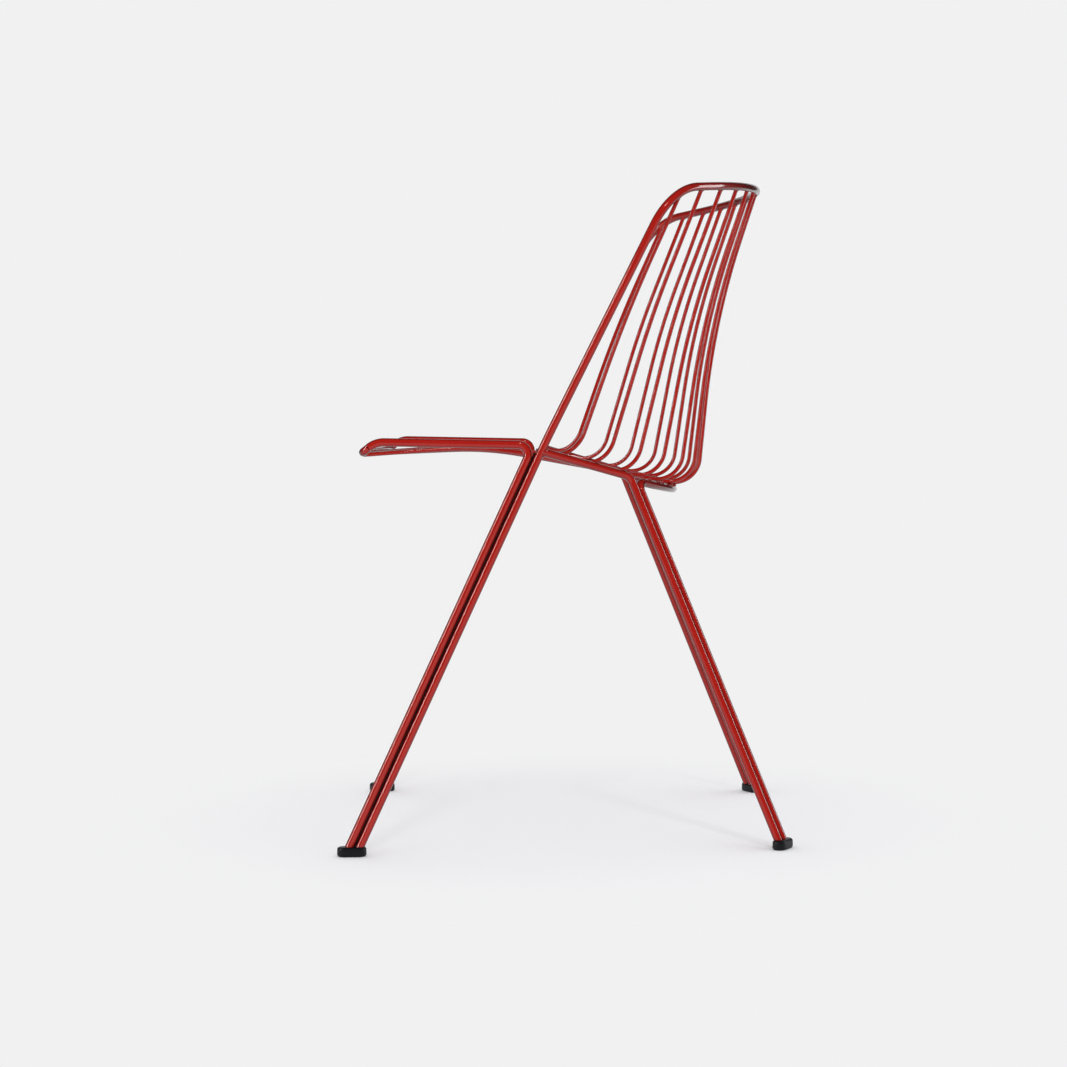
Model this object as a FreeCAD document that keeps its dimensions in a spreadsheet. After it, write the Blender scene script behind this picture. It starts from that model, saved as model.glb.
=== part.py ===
import FreeCAD, Part
import math
import os
import Sketcher

# Chair welded up from bent round rod and wire, standing on four foot glides.
# +Z is up, the sitter faces -Y and +X is the chair's left hand side.
# The origin is on the floor, in the middle of the footprint.

Vec = FreeCAD.Vector

# Two heights closer than this are the same one
TOUCH = 0.01
# Largest share of a run between two corners that their bends may take
BENT_SHARE = 0.98
# Halvings that find a place along a bar
HALVINGS = 40

DIMENSIONS = (
    # Stock
    ("rod_diameter", 10.0),
    ("wire_diameter", 5.0),
    ("weld_gap", 0.1),
    # Overall size
    ("overall_depth", 543.5),
    ("overall_height", 808.5),
    ("front_foot_spread", 510.0),
    ("rear_foot_spread", 448.0),
    # Foot glides
    ("glide_length", 35.0),
    ("glide_width", 17.0),
    ("glide_height", 11.5),
    ("glide_floor", 4.0),
    ("glide_rim_radius", 3.0),
    ("socket_clearance", 0.1),
    ("rear_pair_turn", 60.0),
    # Front legs and seat rim
    ("front_leg_lean", 25.1),
    ("front_leg_splay", 2.27),
    ("seat_rail_height", 485.3),
    ("seat_bend_radius", 12.0),
    ("seat_width", 476.0),
    ("crest_reach", 172.5),
    ("crest_rise", 6.0),
    ("crest_radius", 39.0),
    ("nose_reach", 206.0),
    ("nose_drop", 4.8),
    ("nose_corner_radius", 30.0),
    ("nose_bow", 26.0),
    ("nose_bow_drop", 2.5),
    ("nose_bow_radius", 1200.0),
    # Back frame
    ("knee_rise", 4.7),
    ("knee_radius", 400.0),
    ("side_lean", 27.0),
    ("shoulder_width", 486.0),
    ("shoulder_radius", 70.0),
    ("rail_bow", 118.6),
    ("rail_plan_angle", 41.8),
    ("rail_tilt", 7.4),
    # Side rails and rear legs
    ("side_rail_drop", 7.8),
    ("side_rail_slope", 16.7),
    ("side_rail_radius", 14.0),
    ("rear_bend_width", 333.0),
    ("rear_leg_lean", 21.5),
    # Rear crossbar
    ("crossbar_height", 439.3),
    ("crossbar_bow", 51.2),
    ("crossbar_plan_angle", 33.0),
    ("crossbar_tilt", 14.6),
    ("crossbar_bend_radius", 12.0),
    # Wires of the back and seat
    ("wires_each_side", 7.0),
    ("wires_across_seat", 4.0),
    ("rail_pitch", 40.2),
    ("middle_drop", 163.5),
    ("middle_inset", 55.1),
    ("middle_radius", 268.0),
    ("middle_pitch", 40.4),
    ("low_rise", 57.0),
    ("low_setback", 37.0),
    ("low_radius", 200.0),
    ("low_pitch", 41.9),
    ("back_curve_radius", 1000.0),
    ("wire_bend_radius", 30.0),
    ("wire_end_angle", 30.0),
    ("wire_end_length", 3.5),
    ("seat_break_reach", 58.4),
    ("seat_break_drop", 6.3),
    ("seat_dish", 10.0),
    ("seat_curve_radius", 400.0),
    ("nose_pitch", 55.0),
    ("nose_wire_drop", 3.5),
)


def tan_deg(angle):
    """Tangent of an angle in degrees."""
    return math.tan(math.radians(angle))


def cos_deg(angle):
    """Cosine of an angle in degrees."""
    return math.cos(math.radians(angle))


def sin_deg(angle):
    """Sine of an angle in degrees."""
    return math.sin(math.radians(angle))


def mirrored(point):
    """The same point on the other side of the chair."""
    return Vec(-point.x, point.y, point.z)


def unit(vector):
    """A copy of the vector with length one."""
    copy = Vec(vector)
    copy.normalize()
    return copy


def turn_at(before, corner, after):
    """Angle, in radians, by which a path turns at a corner."""
    return (corner - before).getAngle(after - corner)


def radius_through(before, corner, after, depth):
    """Radius of the arc whose middle lies the given depth inside a corner."""
    half_turn = turn_at(before, corner, after) / 2
    return depth / (1 / math.cos(half_turn) - 1)


def fitting_tangents(points, radii):
    """Length that each bend takes from the straights beside it, within what they have."""
    runs = [after.distanceToPoint(before) for before, after in zip(points, points[1:])]
    half_turns = [turn_at(*points[index:index + 3]) / 2 for index in range(len(radii))]
    wanted = [radius * math.tan(half) for radius, half in zip(radii, half_turns)]
    taken = [before + after for before, after in zip([0.0] + wanted, wanted + [0.0])]
    shares = [min(1.0, BENT_SHARE * run / both) for run, both in zip(runs, taken)]
    return [
        tangent * min(shares[index], shares[index + 1])
        for index, tangent in enumerate(wanted)
    ]


def bent_path(points, radii):
    """Straight runs joined by tangent arcs, one radius for each inner point."""
    edges = []
    start = points[0]
    for index, tangent in enumerate(fitting_tangents(points, radii)):
        before, corner, after = points[index:index + 3]
        half_turn = turn_at(before, corner, after) / 2
        radius = tangent / math.tan(half_turn)
        arrive = corner + unit(before - corner) * tangent
        leave = corner + unit(after - corner) * tangent
        inward = unit(unit(before - corner) + unit(after - corner))
        middle = corner + inward * (radius / math.cos(half_turn) - radius)
        edges.append(Part.LineSegment(start, arrive).toShape())
        edges.append(Part.Arc(arrive, middle, leave).toShape())
        start = leave
    edges.append(Part.LineSegment(start, points[-1]).toShape())
    return edges


def point_along(edges, distance):
    """Point at a distance from the start of a path."""
    for edge in edges:
        if distance <= edge.Length:
            return edge.valueAt(edge.getParameterByLength(distance))
        distance -= edge.Length
    return edges[-1].valueAt(edges[-1].LastParameter)


def point_at_width(edges, width):
    """Point of a path at a distance from the chair's middle plane."""
    for edge in edges:
        low, high = edge.FirstParameter, edge.LastParameter
        if (edge.valueAt(low).x - width) * (edge.valueAt(high).x - width) > 0:
            continue
        for _ in range(HALVINGS):
            middle = (low + high) / 2
            if (edge.valueAt(low).x - width) * (edge.valueAt(middle).x - width) > 0:
                low = middle
            else:
                high = middle
        return edge.valueAt(low)
    raise RuntimeError("No part of the bar lies %.1f mm from the middle" % width)


doc = FreeCAD.newDocument("WireChair")

# Driving dimensions
sheet = doc.addObject("Spreadsheet::Sheet", "Dimensions")
for row, (alias, value) in enumerate(DIMENSIONS, start=1):
    sheet.set("A%d" % row, alias.replace("_", " "))
    sheet.set("B%d" % row, str(value))
    sheet.setAlias("B%d" % row, alias)
doc.recompute()


def size(alias):
    """Value of one driving dimension."""
    return float(sheet.get(alias))


def swept_rod(name, edges, diameter):
    """Round bar of a named diameter swept along a path."""
    path = doc.addObject("Part::Feature", name + "_path")
    path.Shape = Part.Wire(edges)
    profile = doc.addObject("Part::Circle", name + "_profile")
    profile.setExpression("Radius", "Dimensions.%s / 2" % diameter)
    direction = edges[0].tangentAt(edges[0].FirstParameter)
    profile.Placement = FreeCAD.Placement(
        edges[0].valueAt(edges[0].FirstParameter),
        FreeCAD.Rotation(Vec(0, 0, 1), direction),
    )
    rod = doc.addObject("Part::Sweep", name)
    rod.Sections = [profile]
    rod.Spine = (path, ["Edge%d" % number for number in range(1, len(edges) + 1)])
    rod.Solid = True
    rod.Frenet = False
    rod.Label = name
    return rod


def coped(rod, name, tool):
    """Rod with its ends cut to the surface of what they are welded to."""
    rod.Label = name + "_blank"
    cut = doc.addObject("Part::Cut", name + "_coped")
    cut.Base = rod
    cut.Tool = tool
    cut.Label = name
    return cut


rod_radius = size("rod_diameter") / 2
wire_radius = size("wire_diameter") / 2
pair_half = rod_radius + size("weld_gap") / 2
seat_on_rod = rod_radius + wire_radius + size("weld_gap")

# Foot positions: both ends of the footprint are set by the glides
glide_half_run = (size("glide_length") - size("glide_width")) / 2
rear_reach = glide_half_run * cos_deg(size("rear_pair_turn"))
front_foot = Vec(
    size("front_foot_spread") / 2,
    -(size("overall_depth") - size("glide_length")) / 2,
    size("glide_floor"),
)
rear_foot = Vec(
    size("rear_foot_spread") / 2,
    size("overall_depth") / 2 - rear_reach - size("glide_width") / 2,
    size("glide_floor"),
)

# Front leg pair: two rods side by side along the leg
front_slope_y = tan_deg(size("front_leg_lean"))
front_slope_x = -tan_deg(size("front_leg_splay"))
front_offset = Vec(0, pair_half / cos_deg(size("front_leg_lean")), 0)


def on_front_leg(height, offset):
    """Point of a front leg rod's axis at a height."""
    rise = height - front_foot.z
    return front_foot + offset + Vec(front_slope_x * rise, front_slope_y * rise, rise)


# Seat frame: front legs, seat sides and seat nose in one bent rod
seat_bend = on_front_leg(size("seat_rail_height"), -front_offset)
seat_half = size("seat_width") / 2
crest = Vec(seat_half, seat_bend.y - size("crest_reach"), seat_bend.z + size("crest_rise"))
nose_corner = Vec(seat_half, seat_bend.y - size("nose_reach"), seat_bend.z - size("nose_drop"))
nose_tip = Vec(0, nose_corner.y - size("nose_bow"), nose_corner.z - size("nose_bow_drop"))
seat_half_path = [on_front_leg(front_foot.z, -front_offset), seat_bend, crest, nose_corner]
seat_points = seat_half_path + [nose_tip] + [mirrored(point) for point in reversed(seat_half_path)]
seat_side_radii = [size("seat_bend_radius"), size("crest_radius"), size("nose_corner_radius")]
seat_radii = seat_side_radii + [size("nose_bow_radius")] + seat_side_radii[::-1]
seat_edges = bent_path(seat_points, seat_radii)
seat_length = sum(edge.Length for edge in seat_edges)
seat_frame = swept_rod("seat_frame", seat_edges, "rod_diameter")

# Back frame: front legs, back sides and the curved top rail in one bent rod
knee = on_front_leg(seat_bend.z + size("knee_rise"), front_offset)
side_slope = tan_deg(size("side_lean"))
rail_slope = tan_deg(size("rail_tilt"))
rail_top = size("overall_height") - rod_radius
shoulder_height = rail_top - rail_slope * size("rail_bow")
shoulder = Vec(
    size("shoulder_width") / 2,
    knee.y + side_slope * (shoulder_height - knee.z),
    shoulder_height,
)
rail_middle = Vec(0, shoulder.y + size("rail_bow"), rail_top)
rail_apex_y = shoulder.y + shoulder.x * tan_deg(size("rail_plan_angle"))
rail_apex = Vec(0, rail_apex_y, rail_middle.z + rail_slope * (rail_apex_y - rail_middle.y))
rail_depth = rail_apex.distanceToPoint(rail_middle)
rail_radius = radius_through(shoulder, rail_apex, mirrored(shoulder), rail_depth)
back_half_path = [on_front_leg(front_foot.z, front_offset), knee, shoulder]
back_points = back_half_path + [rail_apex] + [mirrored(point) for point in reversed(back_half_path)]
back_side_radii = [size("knee_radius"), size("shoulder_radius")]
back_radii = back_side_radii + [rail_radius] + back_side_radii[::-1]
back_edges = bent_path(back_points, back_radii)
back_length = sum(edge.Length for edge in back_edges)
back_frame = swept_rod("back_frame", back_edges, "rod_diameter")

# Rear leg pair: the outer rod turns into the side rail, the inner one into the crossbar
rear_slope_y = -tan_deg(size("rear_leg_lean"))
rail_fall = -tan_deg(size("side_rail_slope"))
rear_offset = Vec(
    pair_half * sin_deg(size("rear_pair_turn")),
    -pair_half * cos_deg(size("rear_pair_turn")) / cos_deg(size("rear_leg_lean")),
    0,
)
side_rail_front = on_front_leg(seat_bend.z - size("side_rail_drop"), front_offset)
side_foot = rear_foot + rear_offset
side_bend_y = (
    side_foot.y + rear_slope_y * (side_rail_front.z - rail_fall * side_rail_front.y - side_foot.z)
) / (1 - rear_slope_y * rail_fall)
side_bend = Vec(
    size("rear_bend_width") / 2,
    side_bend_y,
    side_rail_front.z + rail_fall * (side_bend_y - side_rail_front.y),
)
side_edges = bent_path([side_foot, side_bend, side_rail_front], [size("side_rail_radius")])
side_axis = side_rail_front - side_bend

# Rear crossbar: rear legs and the bowed bar under the back of the seat
cross_fall = -tan_deg(size("crossbar_tilt"))
cross_foot = rear_foot - rear_offset
leg_rise = unit(side_bend - side_foot)
cross_bend = cross_foot + leg_rise * ((size("crossbar_height") - cross_foot.z) / leg_rise.z)
cross_middle = cross_bend + Vec(-cross_bend.x, size("crossbar_bow"), cross_fall * size("crossbar_bow"))
cross_apex_y = cross_bend.y + cross_bend.x * tan_deg(size("crossbar_plan_angle"))
cross_apex = Vec(0, cross_apex_y, cross_middle.z + cross_fall * (cross_apex_y - cross_middle.y))
cross_depth = cross_apex.distanceToPoint(cross_middle)
cross_radius = radius_through(cross_bend, cross_apex, mirrored(cross_bend), cross_depth)
cross_points = [cross_foot, cross_bend, cross_apex, mirrored(cross_bend), mirrored(cross_foot)]
cross_radii = [size("crossbar_bend_radius"), cross_radius, size("crossbar_bend_radius")]
cross_edges = bent_path(cross_points, cross_radii)
rear_crossbar = swept_rod("rear_crossbar", cross_edges, "rod_diameter")

parts = [seat_frame, back_frame, rear_crossbar]
side_rails = {}
for side, flip in (("left", 1), ("right", -1)):
    points = [side_foot, side_bend, side_rail_front]
    if flip < 0:
        points = [mirrored(point) for point in points]
    blank = swept_rod("side_rail_" + side, bent_path(points, [size("side_rail_radius")]), "rod_diameter")
    rail = coped(blank, "side_rail_" + side, back_frame)
    side_rails[side] = rail
    parts.append(rail)

# Rods that the inner wires end on
wire_stops = doc.addObject("Part::Compound", "wire_stops")
wire_stops.Links = [seat_frame, back_frame]


def on_arc(radius, reach, height, distance):
    """Point of a level arc, at a distance along it from the middle of the chair."""
    angle = distance / radius
    return Vec(radius * math.sin(angle), reach - radius * (1 - math.cos(angle)), height)


def back_points_of(number):
    """Top, middle and low points of a back wire, counted from the middle outwards."""
    steps = number - 0.5
    top = point_along(back_edges, back_length / 2 - steps * size("rail_pitch"))
    middle = on_arc(
        size("middle_radius"),
        rail_middle.y - size("middle_inset"),
        rail_middle.z - size("middle_drop"),
        steps * size("middle_pitch"),
    )
    low = on_arc(
        size("low_radius"),
        cross_middle.y + size("low_setback"),
        cross_middle.z + size("low_rise"),
        steps * size("low_pitch"),
    )
    return top, middle, low


def crossing_of(first, second, third, fourth):
    """Where two lines, each through two points, cross in side view, on the first line."""
    along = second - first
    other = fourth - third
    gap = third - first
    share = (gap.y * other.z - gap.z * other.y) / (along.y * other.z - along.z * other.y)
    return first + along * share


def fitting_radius(radius, before, corner, after, room):
    """Bend radius, made smaller where the straight beside it is too short."""
    half_turn = turn_at(before, corner, after) / 2
    return min(radius, room / math.tan(half_turn))


def seat_wire(number):
    """Path of a wire from the top rail over the crossbar to the seat nose."""
    steps = number - 0.5
    top, middle, low = back_points_of(number)
    crossing = point_at_width(cross_edges[2:-2], low.x)
    nose = point_along(seat_edges, seat_length / 2 - steps * size("nose_pitch"))
    nose.z -= size("nose_wire_drop")
    seat_break = Vec(0, seat_bend.y - size("seat_break_reach"), 0)
    break_share = (crossing.y - seat_break.y) / (crossing.y - nose.y)
    seat_break.x = crossing.x + (nose.x - crossing.x) * break_share
    seat_rise = size("seat_dish") * (seat_break.x / seat_half) ** 2
    seat_break.z = seat_bend.z - size("seat_break_drop") + seat_rise
    along = seat_break - crossing
    over_bar = crossing + unit(Vec(0, along.z, -along.y)) * seat_on_rod
    bend = crossing_of(seat_break, over_bar, low, middle)
    room = bend.distanceToPoint(over_bar)
    radii = [
        size("back_curve_radius"),
        fitting_radius(size("wire_bend_radius"), middle, bend, over_bar, room),
        size("seat_curve_radius"),
    ]
    return [top, middle, bend, seat_break, nose], radii


def side_wire(number):
    """Path of a wire from the top rail to its end on a side rail."""
    top, middle, low = back_points_of(number)
    down = unit(low - middle)
    end_way = Vec(0, -cos_deg(size("wire_end_angle")), -sin_deg(size("wire_end_angle")))
    half_turn = down.getAngle(end_way) / 2
    run = size("wire_bend_radius") * math.tan(half_turn) + size("wire_end_length") + rod_radius
    shifted = side_bend - end_way * run
    bend = crossing_of(middle, low, shifted, shifted + side_axis)
    end = bend + end_way * run
    share = (end.y - side_bend.y) / side_axis.y
    end.x = side_bend.x + side_axis.x * share
    return [top, middle, bend, end], [size("back_curve_radius"), size("wire_bend_radius")]


for number in range(1, int(size("wires_each_side")) + 1):
    for side in ("left", "right"):
        if number <= size("wires_across_seat"):
            points, radii = seat_wire(number)
            stop = wire_stops
        else:
            points, radii = side_wire(number)
            stop = None
        if side == "right":
            points = [mirrored(point) for point in points]
        name = "wire_%s_%d" % (side, number)
        blank = swept_rod(name, bent_path(points, radii), "wire_diameter")
        if stop is None:
            stop = doc.addObject("Part::Compound", name + "_stops")
            stop.Links = [back_frame, side_rails[side]]
        parts.append(coped(blank, name, stop))


def slot_sketch(body, name):
    """Stadium outline of a glide, centred on the body's origin and long along Y."""
    sketch = body.newObject("Sketcher::SketchObject", name)
    plane = [item for item in body.Origin.OriginFeatures if item.Role == "XY_Plane"][0]
    sketch.AttachmentSupport = [(plane, "")]
    sketch.MapMode = "FlatFace"
    radius = size("glide_width") / 2
    half = size("glide_length") / 2 - radius
    up = Vec(0, 0, 1)
    sketch.addGeometry([
        Part.ArcOfCircle(Part.Circle(Vec(0, half, 0), up, radius), 0, math.pi),
        Part.ArcOfCircle(Part.Circle(Vec(0, -half, 0), up, radius), math.pi, 2 * math.pi),
        Part.LineSegment(Vec(-radius, half, 0), Vec(-radius, -half, 0)),
        Part.LineSegment(Vec(radius, half, 0), Vec(radius, -half, 0)),
    ], False)
    sketch.addConstraint([
        Sketcher.Constraint("Tangent", 0, 2, 2, 1),
        Sketcher.Constraint("Tangent", 0, 1, 3, 1),
        Sketcher.Constraint("Tangent", 1, 1, 2, 2),
        Sketcher.Constraint("Tangent", 1, 2, 3, 2),
        Sketcher.Constraint("Symmetric", 0, 3, 1, 3, -1, 1),
        Sketcher.Constraint("Vertical", 2),
    ])
    radius_index = sketch.addConstraint(Sketcher.Constraint("Radius", 0, radius))
    sketch.setExpression("Constraints[%d]" % radius_index, "Dimensions.glide_width / 2")
    span_index = sketch.addConstraint(Sketcher.Constraint("DistanceY", 1, 3, 0, 3, 2 * half))
    sketch.setExpression("Constraints[%d]" % span_index, "Dimensions.glide_length - Dimensions.glide_width")
    return sketch


def make_glide(name, foot, turn, rod_axes):
    """Foot glide: a rounded pad with two sloping sockets for the leg rods."""
    body = doc.addObject("PartDesign::Body", name + "_body")
    sketch = slot_sketch(body, name + "_outline")
    pad = body.newObject("PartDesign::Pad", name + "_pad")
    pad.Profile = sketch
    pad.setExpression("Length", "Dimensions.glide_height")
    sketch.Visibility = False
    doc.recompute()
    top_edges = [
        "Edge%d" % number
        for number, edge in enumerate(pad.Shape.Edges, start=1)
        if edge.BoundBox.ZMin > size("glide_height") - TOUCH
    ]
    rim = body.newObject("PartDesign::Fillet", name + "_rim")
    rim.Base = (pad, top_edges)
    rim.setExpression("Radius", "Dimensions.glide_rim_radius")
    body.Placement = FreeCAD.Placement(Vec(foot.x, foot.y, 0), FreeCAD.Rotation(Vec(0, 0, 1), turn))
    sockets = []
    for number, (start, direction) in enumerate(rod_axes, start=1):
        socket = doc.addObject("Part::Cylinder", "%s_socket_%d" % (name, number))
        socket.setExpression("Radius", "Dimensions.rod_diameter / 2 + Dimensions.socket_clearance")
        # Long enough to break out of the top at any lean
        socket.setExpression("Height", "Dimensions.glide_height * 3")
        socket.Placement = FreeCAD.Placement(start, FreeCAD.Rotation(Vec(0, 0, 1), direction))
        sockets.append(socket)
    pair = doc.addObject("Part::MultiFuse", name + "_sockets")
    pair.Shapes = sockets
    glide = doc.addObject("Part::Cut", name + "_cut")
    glide.Base = body
    glide.Tool = pair
    glide.Label = name
    return glide


front_way = unit(Vec(front_slope_x, front_slope_y, 1))
front_axes = [(front_foot - front_offset, front_way), (front_foot + front_offset, front_way)]
rear_axes = [(side_foot, leg_rise), (cross_foot, leg_rise)]
for side, flip in (("left", 1), ("right", -1)):
    for place, foot, turn, axes in (
        ("front", front_foot, 0.0, front_axes),
        ("rear", rear_foot, size("rear_pair_turn"), rear_axes),
    ):
        if flip < 0:
            axes = [(mirrored(start), mirrored(way)) for start, way in axes]
            foot = mirrored(foot)
        parts.append(make_glide("glide_%s_%s" % (place, side), foot, flip * turn, axes))

doc.recompute()

# Every feature has to be sound before anything is written
for item in doc.Objects:
    if "Invalid" in item.State or "Error" in item.State:
        raise RuntimeError("%s did not recompute" % item.Label)
for part in parts:
    if part.Shape.isNull() or not part.Shape.isValid() or len(part.Shape.Solids) != 1:
        raise RuntimeError("%s is not one sound solid" % part.Label)

os.makedirs("parts", exist_ok=True)
for part in parts:
    part.Shape.exportStep("parts/%s.step" % part.Label)
    print("%-22s %9.1f mm3" % (part.Label, part.Shape.Volume))
whole = Part.makeCompound([part.Shape for part in parts]).optimalBoundingBox()
print("size %.1f x %.1f x %.1f" % (whole.XLength, whole.YLength, whole.ZLength))
print("from %.2f %.2f %.2f" % (whole.XMin, whole.YMin, whole.ZMin))
print("rail radius %.1f, crossbar radius %.1f" % (rail_radius, cross_radius))
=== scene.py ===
"""Welded wire chair in gloss red paint on black foot glides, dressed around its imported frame.

Every bar is a circle carried along the bar's bent centre line, worked out as whole arrays.
Lengths are metres. +Z is up, the sitter faces -Y and +X is the sitter's left.
"""

import logging
import math
from dataclasses import dataclass, field
from enum import Enum
from typing import Sequence

import bpy
import numpy as np
from mathutils import Matrix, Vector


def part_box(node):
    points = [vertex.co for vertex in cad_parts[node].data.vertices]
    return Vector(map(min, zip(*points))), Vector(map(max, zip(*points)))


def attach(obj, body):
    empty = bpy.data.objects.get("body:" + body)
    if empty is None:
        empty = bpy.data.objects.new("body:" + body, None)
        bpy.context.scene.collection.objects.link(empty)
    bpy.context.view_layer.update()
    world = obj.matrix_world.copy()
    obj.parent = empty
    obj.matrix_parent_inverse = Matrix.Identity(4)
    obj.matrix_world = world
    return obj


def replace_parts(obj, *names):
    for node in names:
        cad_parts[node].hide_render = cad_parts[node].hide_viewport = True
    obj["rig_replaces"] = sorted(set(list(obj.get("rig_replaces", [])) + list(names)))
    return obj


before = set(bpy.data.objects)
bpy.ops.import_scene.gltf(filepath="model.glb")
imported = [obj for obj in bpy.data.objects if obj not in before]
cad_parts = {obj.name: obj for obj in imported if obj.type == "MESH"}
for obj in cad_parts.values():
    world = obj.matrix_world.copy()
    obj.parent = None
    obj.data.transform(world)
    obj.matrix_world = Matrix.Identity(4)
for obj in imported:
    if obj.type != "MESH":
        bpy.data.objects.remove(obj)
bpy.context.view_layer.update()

log = logging.getLogger("chair")

UP = np.array([0.0, 0.0, 1.0])
ACROSS = np.array([1.0, 0.0, 0.0])
REARWARD = np.array([0.0, 1.0, 0.0])
MIRROR = np.array([-1.0, 1.0, 1.0])

Colour = tuple[float, float, float, float]
Triple = tuple[float, float, float]


class Side(Enum):
    """Side of the chair, with the sign of its X."""

    LEFT = 1.0
    RIGHT = -1.0

    @property
    def word(self) -> str:
        """Name of the side as node names spell it."""
        return self.name.lower()


class Stock(Enum):
    """Round bar that the chair is made of, with its diameter and points round it."""

    ROD = (0.0100, 32)
    WIRE = (0.0050, 20)

    @property
    def radius(self) -> float:
        """Half the diameter."""
        return self.value[0] / 2

    @property
    def facets(self) -> int:
        """Points of the mesh round the bar."""
        return self.value[1]


def unit(vector: np.ndarray) -> np.ndarray:
    """Return a vector scaled to length one."""
    return vector / np.linalg.norm(vector)


def slope(degrees: float) -> float:
    """Return the tangent of an angle in degrees."""
    return math.tan(math.radians(degrees))


def full_turn(count: int) -> np.ndarray:
    """Return evenly spaced angles round a full turn, without its end.

    Args:
        count: Number of angles.

    Returns:
        The angles in radians.
    """
    return np.linspace(0.0, 2.0 * math.pi, count, endpoint=False)


def round_about(first: np.ndarray, second: np.ndarray, angles: np.ndarray) -> np.ndarray:
    """Return first x cos a + second x sin a as rows, one for each angle a.

    Args:
        first: Vector at angle nought.
        second: Vector at a quarter turn.
        angles: Angles in radians.

    Returns:
        One vector for each angle.
    """
    return np.outer(np.cos(angles), first) + np.outer(np.sin(angles), second)


def turned(vector: np.ndarray, axis: np.ndarray, angles: np.ndarray) -> np.ndarray:
    """Turn one vector about an axis by many angles.

    Formula: v cos a + (k x v) sin a + k (k . v) (1 - cos a), for axis k and angle a.

    Args:
        vector: The vector to turn.
        axis: Unit vector of the axis.
        angles: Angles in radians.

    Returns:
        One turned vector for each angle, as rows.
    """
    along = axis * (axis @ vector)
    return along + round_about(vector - along, np.cross(axis, vector), angles)


@dataclass(frozen=True)
class CentreLine:
    """Axis of a bent bar, with a frame that turns only where the bar bends.

    Attributes:
        points: Places along the axis, as rows.
        tangents: Unit directions of travel at those places.
        normals: Unit vectors square to the tangents, which never twist about them.
    """

    points: np.ndarray
    tangents: np.ndarray
    normals: np.ndarray

    @property
    def distances(self) -> np.ndarray:
        """Length of bar from its start to each place."""
        steps = np.linalg.norm(np.diff(self.points, axis=0), axis=1)
        return np.concatenate([[0.0], np.cumsum(steps)])

    def before_middle(self, distance: float, rows: np.ndarray | None = None) -> np.ndarray:
        """Return the place, or what other rows hold, at a distance before the middle.

        Args:
            distance: Distance along the bar, from its middle towards its start.
            rows: Values at the line's places, where they aren't the places themselves.

        Returns:
            The values there.
        """
        lengths = self.distances
        place = lengths[-1] / 2 - distance
        columns = (self.points if rows is None else rows).T
        return np.array([np.interp(place, lengths, column) for column in columns])


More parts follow.
